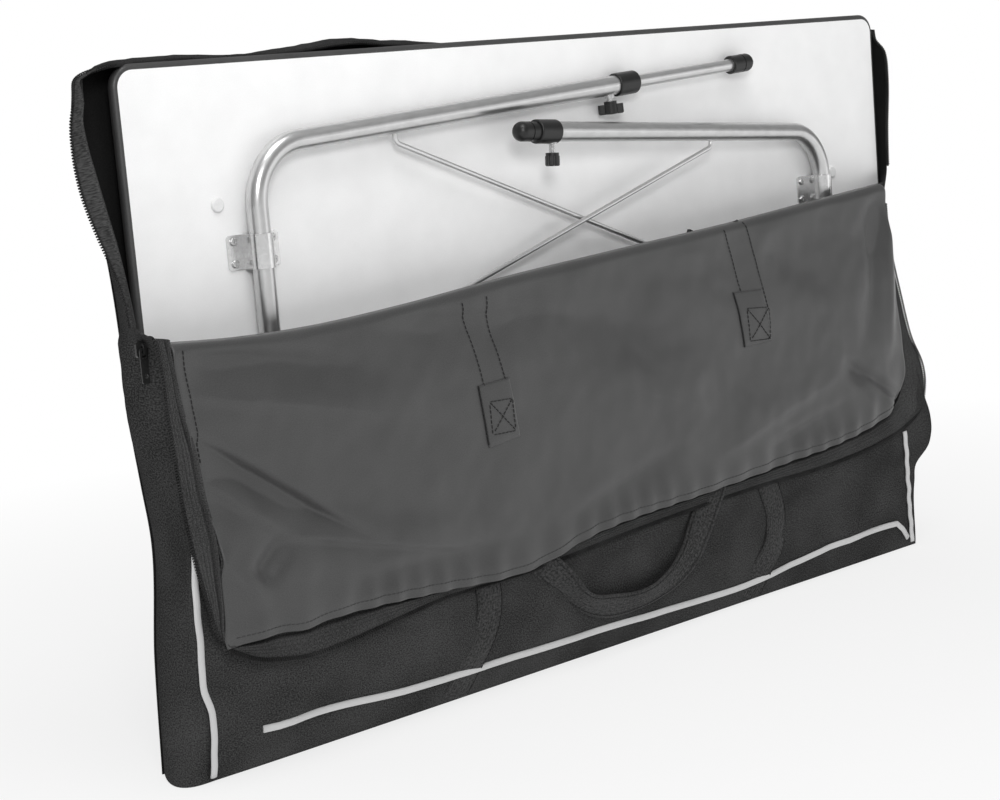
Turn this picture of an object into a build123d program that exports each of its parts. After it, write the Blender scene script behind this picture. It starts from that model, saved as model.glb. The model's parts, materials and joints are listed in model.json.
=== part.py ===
"""Folding manicure table, legs folded, standing on its long edge inside its open carry bag.

Frame: +X along the table's long side, +Y from the underside towards the worktop, +Z up.
The origin is on the floor, under the middle of the table's long edge, in the plane of the underside.
All sizes are in millimetres.
"""

from build123d import *
from math import atan2, cos, hypot, radians, sin, tan
import os

os.makedirs("parts", exist_ok=True)

# Tabletop
TABLE_LENGTH = 1000.0
TABLE_WIDTH = 598.0
BOARD_THICKNESS = 10.0
TRIM_LIP = 5.0
CORNER_RADIUS = 20.0
TABLE_LIFT_OFF = 5.0
MID_HEIGHT = TABLE_LIFT_OFF + TABLE_WIDTH / 2

# Tubes and wire
TUBE_RADIUS = 9.5
TUBE_WALL = 1.2
INNER_TUBE_RADIUS = 6.35
INNER_TUBE_WALL = 1.0
INNER_TUBE_LENGTH = 275.0
WIRE_RADIUS = 2.5
PIVOT_X = 378.0
PIVOT_DEPTH = 13.0
BEND_RADIUS = 52.0
SLIP = 0.06

# Leg frames: half height at the corner, outward splay, tilt off the board, and tube length from the pivot
LEFT_CORNER_HALF = 221.5
LEFT_SPLAY = 3.2
LEFT_TILT = 0.0
LEFT_REACH = 463.0
LEFT_DRAWN_OUT = 152.0
RIGHT_CORNER_HALF = 176.0
RIGHT_SPLAY = 4.36
RIGHT_TILT = 3.4
RIGHT_REACH = 443.0
RIGHT_DRAWN_OUT = 0.0

# Clamp knobs: distance back from the tube's end, height of the grip's near end off the arm, and wing angle
LEFT_KNOB_BACK = 28.0
LEFT_GRIP_START = 15.0
LEFT_WING_TURN = 42.0
RIGHT_KNOB_BACK = 15.0
RIGHT_GRIP_START = 20.0
RIGHT_WING_TURN = -38.0
STUD_RADIUS = 3.0
NUT_RADIUS = 5.0

# Collars and feet
COLLAR_RADIUS = 11.5
COLLAR_OVER_TUBE = 20.0
COLLAR_NOSE = 8.0
COLLAR_MOUTH = 6.0
FOOT_RADIUS = 9.4
FOOT_LENGTH = 32.0
FOOT_BORE_DEPTH = 25.0
FOOT_FLAT = 1.2
FOOT_GROOVE_PLACE = 15.0
FOOT_GROOVE_DEPTH = 0.6

# Braces: distance of the hook from the leg's pivot, its half height, and length from hook to cross-piece
LEFT_HOOK_REACH = 158.0
LEFT_HOOK_HALF = 213.0
LEFT_BRACE_LENGTH = 426.0
RIGHT_HOOK_REACH = 189.0
RIGHT_HOOK_HALF = 175.0
RIGHT_BRACE_LENGTH = 452.0
RIGHT_BRACE_DIP = 1.4
CROSS_PIECE_HALF = 40.0
BRACE_BEND_RADIUS = 7.0

# Saddle brackets
BRACKET_WIDTH = 54.0
BRACKET_HEIGHT = 30.0
BRACKET_SHEET = 1.5
LEFT_BRACKET_Z = 134.0
RIGHT_BRACKET_Z = 114.0
BRACKET_CORNER = 3.5
BRACKET_SCREW_DX = 20.5
BRACKET_SCREW_DZ = 9.5

# Carry bag
BAG_HALF_LENGTH = 522.0
BAG_HEIGHT = 612.0
BAG_CORNER = 30.0
FABRIC = 3.0
BAG_BACK = 25.0
BAG_FRONT_LEFT = -80.0
BAG_FRONT_RIGHT = -48.0
FOLD_LEFT = 373.0
FOLD_RIGHT = 421.0
FOLD_SLACK = 2.0
FLAP_DROP = 270.0
FLAP_GAP = 7.0
FLAP_LAYER = 2.0
TAPE_WIDTH = 14.0
REAR_GUSSET_FRONT = -30.0
OPENING_BOTTOM = 310.0

# Webbing: straps across the front and rear, and the two handles that hang from them
STRAP_X = (-196.0, 160.0)
STRAP_WIDTH = 30.0
STRAP_THICKNESS = 1.8
STRAP_BOTTOM = 45.0
FRONT_STRAP_GAP = 0.2
FRONT_HANDLE_GAP = 2.6
FLAP_STRAP_GAP = 5.0
ANCHOR_BOTTOM = 240.0
FRONT_LOOP_LOW = 52.0
LOOP_SAG = 90.0
REAR_ANCHOR = 520.0
REAR_LOOP_LOW = 330.0
REAR_HANDLE_GAP = 1.0


def save(piece, name):
    """Labels a finished piece and writes it as its own file."""
    piece.part.label = name
    export_step(piece.part, f"parts/{name}.step")


# ---------------------------------------------------------------- tabletop

FIXED_TO_BOARD_SCREWS = []
for side, bracket_z in ((-1, LEFT_BRACKET_Z), (1, RIGHT_BRACKET_Z)):
    for level in (-1, 1):
        for dx in (-BRACKET_SCREW_DX, BRACKET_SCREW_DX):
            for dz in (-BRACKET_SCREW_DZ, BRACKET_SCREW_DZ):
                FIXED_TO_BOARD_SCREWS.append((side * PIVOT_X + dx, MID_HEIGHT + level * bracket_z + dz))

LEFT_STOP_X = 12.7
LEFT_SEAT_DEPTH = 5.4
RIGHT_STOP_X = -18.8
RIGHT_SEAT_DEPTH = 11.4
CATCH_SCREWS = [(-3.0, MID_HEIGHT + level * 24.0) for level in (-1, 1)]
CLIP_X = 190.0
CLIP_Z = MID_HEIGHT + 62.0
CLIP_SCREW = (CLIP_X + 6.0, CLIP_Z + 2.0)
COVER_CAP_PLACES = ((-1, 90.0, 176.0), (1, 88.0, 129.0))
COVER_CAPS = [
    (side * (TABLE_LENGTH / 2 - inset), MID_HEIGHT + level * half)
    for side, inset, half in COVER_CAP_PLACES
    for level in (-1, 1)
]
SCREW_SHANK_RADIUS = 1.6
SCREW_HEAD_RADIUS = 3.6
SCREW_HEAD_HEIGHT = 1.8
SCREW_DEPTH = 8.0
SCREW_EDGE_ROUND = 1.2
SCREW_TIP_GAP = 1.0
CROSS_SLOT = (3.6, 0.9)
CROSS_DEPTH = 1.1
BOARD_LENGTH = TABLE_LENGTH - 2 * TRIM_LIP
BOARD_WIDTH = TABLE_WIDTH - 2 * TRIM_LIP
BOARD_CORNER = CORNER_RADIUS - TRIM_LIP
TONGUE_DEPTH = 6.0
TONGUE_THICKNESS = 1.6
GROOVE_THICKNESS = 1.8

UNDERSIDE = Plane.XZ
WORKTOP = Plane.XZ.offset(-BOARD_THICKNESS)
MID_BOARD = Plane.XZ.offset(-BOARD_THICKNESS / 2)

with BuildPart() as tabletop_board:
    with BuildSketch(WORKTOP):
        with Locations((0, MID_HEIGHT)):
            RectangleRounded(BOARD_LENGTH, BOARD_WIDTH, BOARD_CORNER)
    extrude(amount=BOARD_THICKNESS)
    with BuildSketch(MID_BOARD):
        with Locations((0, MID_HEIGHT)):
            RectangleRounded(BOARD_LENGTH, BOARD_WIDTH, BOARD_CORNER)
            RectangleRounded(
                BOARD_LENGTH - 2 * TONGUE_DEPTH - 1, BOARD_WIDTH - 2 * TONGUE_DEPTH - 1,
                BOARD_CORNER - TONGUE_DEPTH, mode=Mode.SUBTRACT,
            )
    extrude(amount=GROOVE_THICKNESS / 2, both=True, mode=Mode.SUBTRACT)
    with BuildSketch(UNDERSIDE):
        with Locations(*FIXED_TO_BOARD_SCREWS, *CATCH_SCREWS, CLIP_SCREW):
            Circle(SCREW_SHANK_RADIUS + SLIP)
    extrude(amount=-SCREW_DEPTH, mode=Mode.SUBTRACT)
save(tabletop_board, "tabletop_board")

with BuildPart() as edge_trim:
    with BuildSketch(WORKTOP):
        with Locations((0, MID_HEIGHT)):
            RectangleRounded(TABLE_LENGTH, TABLE_WIDTH, CORNER_RADIUS)
            RectangleRounded(BOARD_LENGTH, BOARD_WIDTH, BOARD_CORNER, mode=Mode.SUBTRACT)
    extrude(amount=BOARD_THICKNESS)
    outer_rims = edge_trim.edges().filter_by_position(Axis.Y, 0, 0)
    outer_rims += edge_trim.edges().filter_by_position(Axis.Y, BOARD_THICKNESS, BOARD_THICKNESS)
    reach = TABLE_LENGTH / 2 - TRIM_LIP / 2
    rise = TABLE_WIDTH / 2 - TRIM_LIP / 2
    rounded_rims = [
        rim for rim in outer_rims
        if abs(rim.center().X) > reach or abs(rim.center().Z - MID_HEIGHT) > rise
        or (rim.geom_type == GeomType.CIRCLE and rim.radius > BOARD_CORNER + 1)
    ]
    fillet(rounded_rims, radius=TRIM_LIP - 0.6)
    with BuildSketch(MID_BOARD):
        with Locations((0, MID_HEIGHT)):
            RectangleRounded(BOARD_LENGTH + 1, BOARD_WIDTH + 1, BOARD_CORNER)
            RectangleRounded(
                BOARD_LENGTH - 2 * TONGUE_DEPTH, BOARD_WIDTH - 2 * TONGUE_DEPTH,
                BOARD_CORNER - TONGUE_DEPTH, mode=Mode.SUBTRACT,
            )
    extrude(amount=TONGUE_THICKNESS / 2, both=True)
save(edge_trim, "edge_trim")


def build_screws(name, seats):
    """Pan-head cross-recess screws; a seat is (x, z, height of the surface under the head)."""
    with BuildPart() as screws:
        for x, z, seat in seats:
            with BuildSketch(Plane.XZ.offset(seat)):
                with Locations((x, z)):
                    Circle(SCREW_HEAD_RADIUS)
            head = extrude(amount=SCREW_HEAD_HEIGHT)
            fillet(head.edges().group_by(Axis.Y)[0], radius=SCREW_EDGE_ROUND)
            with BuildSketch(Plane.XZ.offset(seat)):
                with Locations((x, z)):
                    Circle(SCREW_SHANK_RADIUS)
            extrude(amount=-(SCREW_DEPTH + seat - SCREW_TIP_GAP))
            with BuildSketch(Plane.XZ.offset(seat + SCREW_HEAD_HEIGHT)):
                with Locations((x, z)):
                    Rectangle(*CROSS_SLOT)
                    Rectangle(*reversed(CROSS_SLOT))
            extrude(amount=-CROSS_DEPTH, mode=Mode.SUBTRACT)
    save(screws, name)


build_screws("bracket_screws", [(x, z, BRACKET_SHEET) for x, z in FIXED_TO_BOARD_SCREWS])

COVER_CAP_RADIUS = 6.4
COVER_CAP_HEIGHT = 2.4
with BuildPart() as screw_cover_caps:
    with BuildSketch(UNDERSIDE):
        with Locations(*COVER_CAPS):
            Circle(COVER_CAP_RADIUS)
    extrude(amount=COVER_CAP_HEIGHT)
    fillet(screw_cover_caps.edges().group_by(Axis.Y)[0], radius=0.75 * COVER_CAP_HEIGHT)
save(screw_cover_caps, "screw_cover_caps")


def build_bracket(name, x, z):
    """Saddle bracket: two flat flanges and a hump that holds the leg's crossbar as a bearing."""
    bore = TUBE_RADIUS + SLIP
    shell = bore + BRACKET_SHEET
    with BuildPart() as bracket:
        with BuildSketch(Plane.XY.offset(z - BRACKET_HEIGHT / 2)):
            with Locations((x, -BRACKET_SHEET / 2)):
                Rectangle(BRACKET_WIDTH, BRACKET_SHEET)
            with Locations((x, -PIVOT_DEPTH / 2)):
                Rectangle(2 * shell, PIVOT_DEPTH)
            with Locations((x, -PIVOT_DEPTH)):
                Circle(shell)
            with Locations((x, -PIVOT_DEPTH / 2)):
                Rectangle(2 * bore, PIVOT_DEPTH, mode=Mode.SUBTRACT)
            with Locations((x, -PIVOT_DEPTH)):
                Circle(bore, mode=Mode.SUBTRACT)
        extrude(amount=BRACKET_HEIGHT)
        corners = bracket.edges().filter_by(Axis.Y).filter_by(
            lambda edge: abs(abs(edge.center().X - x) - BRACKET_WIDTH / 2) < 0.01
        )
        fillet(corners, radius=BRACKET_CORNER)
        with BuildSketch(UNDERSIDE):
            with Locations((x, z)):
                with GridLocations(2 * BRACKET_SCREW_DX, 2 * BRACKET_SCREW_DZ, 2, 2):
                    Circle(SCREW_SHANK_RADIUS + SLIP)
        extrude(amount=BRACKET_SHEET, mode=Mode.SUBTRACT)
    save(bracket, name)


for side, side_name, bracket_z in ((-1, "left", LEFT_BRACKET_Z), (1, "right", RIGHT_BRACKET_Z)):
    for level, level_name in ((1, "upper"), (-1, "lower")):
        build_bracket(f"bracket_{side_name}_{level_name}", side * PIVOT_X, MID_HEIGHT + level * bracket_z)

# Centre catch: a moulded base with a seat and a stop wall for each brace's cross-piece when the legs are out.
CATCH_HALF_LENGTH = 35.0
CATCH_BASE = 4.0
CATCH_RIGHT_END = 30.0
CATCH_LEFT_END = -48.0
SEAT_LENGTH = 7.0
SEAT_RAMP = 8.0
STOP_RISE = 7.5
STOP_WALL = 4.5
STOP_ROOT = 7.0
LEFT_STOP_TOP = -LEFT_SEAT_DEPTH - STOP_RISE
RIGHT_STOP_TOP = -RIGHT_SEAT_DEPTH - STOP_RISE
with BuildPart() as brace_catch:
    with BuildSketch(Plane.XY.offset(MID_HEIGHT - CATCH_HALF_LENGTH)):
        with BuildLine():
            Polyline(
                (CATCH_RIGHT_END, 0),
                (CATCH_RIGHT_END, -CATCH_BASE),
                (CATCH_RIGHT_END - SEAT_RAMP, -LEFT_SEAT_DEPTH),
                (LEFT_STOP_X, -LEFT_SEAT_DEPTH),
                (LEFT_STOP_X, LEFT_STOP_TOP),
                (LEFT_STOP_X - STOP_WALL, LEFT_STOP_TOP),
                (LEFT_STOP_X - STOP_ROOT, -CATCH_BASE),
                (RIGHT_STOP_X + STOP_ROOT + 1.0, -CATCH_BASE),
                (RIGHT_STOP_X + STOP_WALL, RIGHT_STOP_TOP),
                (RIGHT_STOP_X, RIGHT_STOP_TOP),
                (RIGHT_STOP_X, -RIGHT_SEAT_DEPTH),
                (RIGHT_STOP_X - SEAT_LENGTH, -RIGHT_SEAT_DEPTH),
                (RIGHT_STOP_X - 2 * SEAT_LENGTH, -CATCH_BASE),
                (CATCH_LEFT_END, -CATCH_BASE),
                (CATCH_LEFT_END, 0),
                close=True,
            )
        make_face()
    extrude(amount=2 * CATCH_HALF_LENGTH)
    with BuildSketch(UNDERSIDE):
        with Locations(*CATCH_SCREWS):
            Circle(SCREW_SHANK_RADIUS + SLIP)
    extrude(amount=CATCH_BASE, mode=Mode.SUBTRACT)
    upright_edges = brace_catch.edges().filter_by(Axis.Y)
    base_corners = upright_edges.filter_by(lambda edge: abs(edge.length - CATCH_BASE) < 0.01)
    fillet(base_corners, radius=3.0)
save(brace_catch, "brace_catch")

# Transit clip: a springy prong over a screwed base, beside the left brace.
# The prong's corners are measured from the clip's centre.
CLIP_BASE = 3.0
CLIP_BASE_SIZE = (16.0, 22.0)
CLIP_BASE_CORNER = 3.0
PRONG_THICKNESS = 4.0
PRONG_OUTLINE = ((10.0, 14.5), (-22.0, 30.0), (-24.0, 26.0), (0.0, 9.0), (10.0, 9.0))
with BuildPart() as brace_clip:
    with BuildSketch(UNDERSIDE):
        with Locations((CLIP_X + 6.0, CLIP_Z + 4.0)):
            RectangleRounded(*CLIP_BASE_SIZE, CLIP_BASE_CORNER)
    extrude(amount=CLIP_BASE)
    with BuildSketch(UNDERSIDE.offset(CLIP_BASE)):
        with BuildLine():
            Polyline(*[(CLIP_X + x, CLIP_Z + z) for x, z in PRONG_OUTLINE], close=True)
        make_face()
    extrude(amount=PRONG_THICKNESS)
    with BuildSketch(UNDERSIDE):
        with Locations(CLIP_SCREW):
            Circle(SCREW_SHANK_RADIUS + SLIP)
    extrude(amount=CLIP_BASE, mode=Mode.SUBTRACT)
save(brace_clip, "brace_clip")

build_screws(
    "plastic_part_screws",
    [(*CATCH_SCREWS[0], CATCH_BASE), (*CATCH_SCREWS[1], CATCH_BASE), (*CLIP_SCREW, CLIP_BASE)],
)

# ---------------------------------------------------------------- legs


class Leg:
    """Where one U-shaped leg lies when folded. side is -1 for the left leg and 1 for the right."""

    def __init__(self, side, corner_half, splay, tilt, reach):
        self.side = side
        self.corner_half = corner_half
        self.splay = radians(splay)
        self.tilt = radians(tilt)
        self.reach = reach

    def point(self, along, half_height):
        """A point in the leg's plane, at a distance from the pivot and from mid-height."""
        return Vector(
            self.side * (PIVOT_X - along * cos(self.tilt)),
            -PIVOT_DEPTH - along * sin(self.tilt),
            MID_HEIGHT + half_height,
        )

    def arm_point(self, along, level):
        """A point on the centre line of the upper (level 1) or lower (level -1) arm."""
        return self.point(along, level * (self.corner_half + along * tan(self.splay)))

    def arm_plane(self, along, level):
        """A plane square to the arm, facing its foot."""
        start = self.arm_point(along, level)
        direction = self.arm_point(along + 100.0, level) - start
        return Plane(origin=start, x_dir=self.inward(level), z_dir=direction.normalized())

    def inward(self, level):
        """Unit vector in the leg's plane, square to the arm and towards mid-height."""
        along = self.arm_point(100.0, level) - self.arm_point(0.0, level)
        across = self.point(100.0, 0.0) - self.point(0.0, 0.0)
        plane_normal = along.cross(across).normalized()
        square = plane_normal.cross(along).normalized()
        if square.Z * level > 0:
            square = square * -1
        return square

    def knob_plane(self, back, level):
        """A plane on the arm's centre line, facing inwards along the clamp knob's stud."""
        origin = self.arm_point(self.reach - back, level)
        along = self.arm_point(100.0, level) - self.arm_point(0.0, level)
        return Plane(origin=origin, x_dir=along.normalized(), z_dir=self.inward(level))


LEFT_LEG = Leg(-1, LEFT_CORNER_HALF, LEFT_SPLAY, LEFT_TILT, LEFT_REACH)
RIGHT_LEG = Leg(1, RIGHT_CORNER_HALF, RIGHT_SPLAY, RIGHT_TILT, RIGHT_REACH)
LEVELS = ((1, "upper"), (-1, "lower"))


def build_leg_frame(name, leg, knob_back, hook_reach):
    """One bent tube: crossbar, two bends and two splayed arms, with its holes."""
    with BuildPart() as frame:
        with BuildLine() as path:
            FilletPolyline(
                leg.arm_point(leg.reach, 1), leg.arm_point(0, 1),
                leg.arm_point(0, -1), leg.arm_point(leg.reach, -1),
                radius=BEND_RADIUS,
            )
        with BuildSketch(Plane(origin=path.line @ 0, z_dir=path.line % 0)):
            Circle(TUBE_RADIUS)
            Circle(TUBE_RADIUS - TUBE_WALL, mode=Mode.SUBTRACT)
        sweep(path=path.line)
        for level, _ in LEVELS:
            with BuildSketch(leg.knob_plane(knob_back, level)):
                Circle(NUT_RADIUS + SLIP)
            extrude(amount=TUBE_RADIUS + 2, mode=Mode.SUBTRACT)
            hook = leg.arm_point(hook_reach, level)
            with BuildSketch(Plane(origin=hook, z_dir=(0, 0, -level))):
                Circle(WIRE_RADIUS + SLIP)
            extrude(amount=TUBE_RADIUS + 4, mode=Mode.SUBTRACT)
    save(frame, name)


def build_collar(name, leg, level, knob_back):
    """Plastic collar: a sleeve over the tube's end, a nose with a mouth for the foot, and a guide bush."""
    bush_radius = TUBE_RADIUS - TUBE_WALL - SLIP
    bore = INNER_TUBE_RADIUS + SLIP
    tube_end = leg.arm_plane(leg.reach, level)
    with BuildPart() as collar:
        with BuildSketch(tube_end.offset(-COLLAR_OVER_TUBE)):
            Circle(COLLAR_RADIUS)
        extrude(amount=COLLAR_OVER_TUBE + COLLAR_NOSE)
        fillet(collar.edges().filter_by(GeomType.CIRCLE), radius=1.5)
        with BuildSketch(tube_end.offset(-COLLAR_OVER_TUBE)):
            Circle(TUBE_RADIUS + SLIP)
        extrude(amount=COLLAR_OVER_TUBE, mode=Mode.SUBTRACT)
        with BuildSketch(tube_end.offset(-COLLAR_OVER_TUBE)):
            Circle(bush_radius)
        extrude(amount=COLLAR_OVER_TUBE + 1)
        with BuildSketch(tube_end.offset(-COLLAR_OVER_TUBE)):
            Circle(bore)
        extrude(amount=COLLAR_OVER_TUBE + COLLAR_NOSE, mode=Mode.SUBTRACT)
        with BuildSketch(tube_end.offset(COLLAR_NOSE - COLLAR_MOUTH)):
            Circle(FOOT_RADIUS + SLIP)
        extrude(amount=COLLAR_MOUTH, mode=Mode.SUBTRACT)
        with BuildSketch(leg.knob_plane(knob_back, level)):
            Circle(NUT_RADIUS + 2 * SLIP)
        extrude(amount=COLLAR_RADIUS + 1, mode=Mode.SUBTRACT)
    save(collar, name)


def build_rivet_nuts(name, leg, knob_back):
    """Two threaded inserts pressed into the tube's wall, one for each clamp knob."""
    with BuildPart() as nuts:
        for level, _ in LEVELS:
            knob_plane = leg.knob_plane(knob_back, level)
            with BuildSketch(knob_plane.offset(TUBE_RADIUS - TUBE_WALL)):
                Circle(NUT_RADIUS)
                Circle(STUD_RADIUS + SLIP, mode=Mode.SUBTRACT)
            extrude(amount=TUBE_WALL + 2.2)
    save(nuts, name)


STUD_START = INNER_TUBE_RADIUS + 0.1
KNOB_HEIGHT = 12.5
KNOB_NECK = 3.0
KNOB_NECK_RADIUS = 6.4
KNOB_HUB_RADIUS = 7.0
KNOB_WING_HALF = 12.5
KNOB_WING_THICKNESS = 6.0
KNOB_END_WALL = 4.0
KNOB_EDGE = 1.0


def build_knob(name, stud_name, leg, level, knob_back, grip_start, wing_turn):
    """Clamp knob: a threaded stud with a moulded two-wing grip, screwed in as far as grip_start."""
    knob_plane = leg.knob_plane(knob_back, level)
    stud_end = grip_start + KNOB_HEIGHT - KNOB_END_WALL
    with BuildPart() as stud:
        with BuildSketch(knob_plane.offset(STUD_START)):
            Circle(STUD_RADIUS)
        extrude(amount=stud_end - STUD_START)
        chamfer(stud.edges().filter_by(GeomType.CIRCLE), length=0.5)
    save(stud, stud_name)
    with BuildPart() as knob:
        with BuildSketch(knob_plane.offset(grip_start + KNOB_NECK)):
            with Locations(Rotation(0, 0, wing_turn)):
                Circle(KNOB_HUB_RADIUS)
                RectangleRounded(2 * KNOB_WING_HALF, KNOB_WING_THICKNESS, KNOB_WING_THICKNESS / 3)
        extrude(amount=KNOB_HEIGHT - KNOB_NECK)
        far_face = knob.faces().sort_by(lambda face: knob_plane.to_local_coords(face.center()).Z)[-1]
        chamfer(far_face.edges(), length=KNOB_EDGE)
        with BuildSketch(knob_plane.offset(grip_start)):
            Circle(KNOB_NECK_RADIUS)
        extrude(amount=KNOB_NECK + KNOB_EDGE)
        with BuildSketch(knob_plane):
            Circle(STUD_RADIUS + SLIP / 2)
        extrude(amount=stud_end + SLIP, mode=Mode.SUBTRACT)
    save(knob, name)


def build_inner_leg(tube_name, foot_name, leg, level, drawn_out):
    """The telescoping tube inside one arm, and the moulded foot on its end."""
    foot_seat = leg.reach + (COLLAR_NOSE - COLLAR_MOUTH + drawn_out + SLIP) / hypot(1, tan(leg.splay))
    foot_plane = leg.arm_plane(foot_seat, level)
    with BuildPart() as tube:
        with BuildSketch(foot_plane.offset(FOOT_BORE_DEPTH - INNER_TUBE_LENGTH)):
            Circle(INNER_TUBE_RADIUS)
            Circle(INNER_TUBE_RADIUS - INNER_TUBE_WALL, mode=Mode.SUBTRACT)
        extrude(amount=INNER_TUBE_LENGTH)
    save(tube, tube_name)
    with BuildPart() as foot:
        with BuildSketch(foot_plane):
            Circle(FOOT_RADIUS)
        extrude(amount=FOOT_LENGTH)
        tip = foot.edges().filter_by(GeomType.CIRCLE).sort_by(
            lambda edge: (edge.arc_center - foot_plane.origin).length
        )[-1]
        fillet(tip, radius=FOOT_RADIUS - FOOT_FLAT)
        with BuildSketch(foot_plane):
            Circle(INNER_TUBE_RADIUS + SLIP / 2)
        extrude(amount=FOOT_BORE_DEPTH + SLIP, mode=Mode.SUBTRACT)
        with BuildSketch(foot_plane.offset(FOOT_GROOVE_PLACE)):
            Circle(FOOT_RADIUS + 1)
            Circle(FOOT_RADIUS - FOOT_GROOVE_DEPTH, mode=Mode.SUBTRACT)
        extrude(amount=2 * FOOT_GROOVE_DEPTH, mode=Mode.SUBTRACT)
    save(foot, foot_name)


def build_brace(name, leg, hook_reach, heading, length, emerge_half):
    """V-shaped wire brace lying folded: pins in both arms, two slanting legs and a cross-piece."""
    hinge = leg.point(hook_reach, 0)
    run = Vector(cos(radians(heading)), sin(radians(heading)), 0)
    pin_half = leg.corner_half + hook_reach * tan(leg.splay) + 3.0
    up = Vector(0, 0, 1)
    with BuildPart() as brace:
        with BuildLine() as path:
            FilletPolyline(
                hinge + up * pin_half,
                hinge + up * emerge_half,
                hinge + run * length + up * CROSS_PIECE_HALF,
                hinge + run * length - up * CROSS_PIECE_HALF,
                hinge - up * emerge_half,
                hinge - up * pin_half,
                radius=BRACE_BEND_RADIUS,
            )
        with BuildSketch(Plane(origin=path.line @ 0, z_dir=path.line % 0)):
            Circle(WIRE_RADIUS)
        sweep(path=path.line)
    save(brace, name)


LEGS = (
    (
        "left", LEFT_LEG, LEFT_KNOB_BACK, LEFT_HOOK_REACH,
        LEFT_DRAWN_OUT, LEFT_GRIP_START, LEFT_WING_TURN,
    ),
    (
        "right", RIGHT_LEG, RIGHT_KNOB_BACK, RIGHT_HOOK_REACH,
        RIGHT_DRAWN_OUT, RIGHT_GRIP_START, RIGHT_WING_TURN,
    ),
)
for side_name, leg, knob_back, hook_reach, drawn_out, grip_start, wing_turn in LEGS:
    build_leg_frame(f"leg_frame_{side_name}", leg, knob_back, hook_reach)
    build_rivet_nuts(f"rivet_nuts_{side_name}", leg, knob_back)
    for level, level_name in LEVELS:
        tag = f"{side_name}_{level_name}"
        build_collar(f"collar_{tag}", leg, level, knob_back)
        build_knob(f"knob_{tag}", f"knob_stud_{tag}", leg, level, knob_back, grip_start, wing_turn)
        build_inner_leg(f"inner_tube_{tag}", f"foot_{tag}", leg, level, drawn_out)

build_brace("brace_left", LEFT_LEG, LEFT_HOOK_REACH, 0.0, LEFT_BRACE_LENGTH, LEFT_HOOK_HALF)
build_brace(
    "brace_right", RIGHT_LEG, RIGHT_HOOK_REACH, 180.0 - RIGHT_BRACE_DIP, RIGHT_BRACE_LENGTH, RIGHT_HOOK_HALF
)

# ---------------------------------------------------------------- carry bag

# The bag's front is one flat face that stands further from the board at the left than at the right.
BAG_SIDE = BAG_HALF_LENGTH - FABRIC
FRONT_TURN = atan2(BAG_FRONT_RIGHT - BAG_FRONT_LEFT, 2 * BAG_HALF_LENGTH)
FRONT_FACE = Plane(
    origin=(0, (BAG_FRONT_LEFT + BAG_FRONT_RIGHT) / 2, 0),
    x_dir=(cos(FRONT_TURN), sin(FRONT_TURN), 0),
    z_dir=(sin(FRONT_TURN), -cos(FRONT_TURN), 0),
)


def fold_height(across):
    """Height of the slanting line where the front folds over, a distance right of the middle."""
    share = (across + BAG_SIDE) / (2 * BAG_SIDE)
    return FOLD_LEFT + share * (FOLD_RIGHT - FOLD_LEFT)


def panel_below_fold(left, right, top_drop, bottom_drop=None, bottom=None):
    """A panel on the front, its top parallel to the fold; its bottom is parallel too, or level."""
    low_left = bottom if bottom_drop is None else fold_height(left) - bottom_drop
    low_right = bottom if bottom_drop is None else fold_height(right) - bottom_drop
    with BuildLine() as outline:
        Polyline(
            (left, low_left), (left, fold_height(left) - top_drop),
            (right, fold_height(right) - top_drop), (right, low_right), close=True,
        )
    return outline.edges()


with BuildPart() as bag_front_panel:
    with BuildSketch(FRONT_FACE):
        make_face(panel_below_fold(-BAG_SIDE, BAG_SIDE, 0.0, bottom=FABRIC))
    extrude(amount=-FABRIC)
save(bag_front_panel, "bag_front_panel")

with BuildPart() as bag_rear_panel:
    with BuildSketch(Plane.XZ.offset(-BAG_BACK)):
        with Locations((0, FABRIC + (BAG_HEIGHT - FABRIC) / 2)):
            RectangleRounded(2 * BAG_SIDE, BAG_HEIGHT - FABRIC, BAG_CORNER)
    extrude(amount=FABRIC)
save(bag_rear_panel, "bag_rear_panel")

GUSSET_TOP = BAG_HEIGHT - BAG_CORNER
with BuildPart() as bag_gusset:
    with BuildSketch(Plane.XY):
        with BuildLine():
            Polyline(
                (-BAG_HALF_LENGTH, BAG_BACK), (-BAG_HALF_LENGTH, BAG_FRONT_LEFT),
                (BAG_HALF_LENGTH, BAG_FRONT_RIGHT), (BAG_HALF_LENGTH, BAG_BACK), close=True,
            )
        make_face()
    extrude(amount=FABRIC)
    for side, front_edge in ((-1, BAG_FRONT_LEFT), (1, BAG_FRONT_RIGHT)):
        side_x = side * (BAG_HALF_LENGTH - FABRIC / 2)
        lower_depth = BAG_BACK - front_edge
        with BuildSketch(Plane.XY.offset(FABRIC)):
            with Locations((side_x, front_edge + lower_depth / 2)):
                Rectangle(FABRIC, lower_depth)
        extrude(amount=OPENING_BOTTOM - FABRIC)
        upper_depth = BAG_BACK - REAR_GUSSET_FRONT
        with BuildSketch(Plane.XY.offset(OPENING_BOTTOM)):
            with Locations((side_x, REAR_GUSSET_FRONT + upper_depth / 2)):
                Rectangle(FABRIC, upper_depth)
        extrude(amount=GUSSET_TOP - OPENING_BOTTOM)
save(bag_gusset, "bag_gusset")

FLAP_HALF = BAG_SIDE - TAPE_WIDTH
FLAP_LAYERS = (("flap_canvas", FLAP_GAP), ("flap_lining", FLAP_GAP + FLAP_LAYER))
for name, gap in FLAP_LAYERS:
    with BuildPart() as flap_layer:
        with BuildSketch(FRONT_FACE.offset(gap)):
            make_face(panel_below_fold(-FLAP_HALF, FLAP_HALF, FOLD_SLACK, FLAP_DROP - TAPE_WIDTH))
        extrude(amount=FLAP_LAYER)
    save(flap_layer, name)

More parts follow.
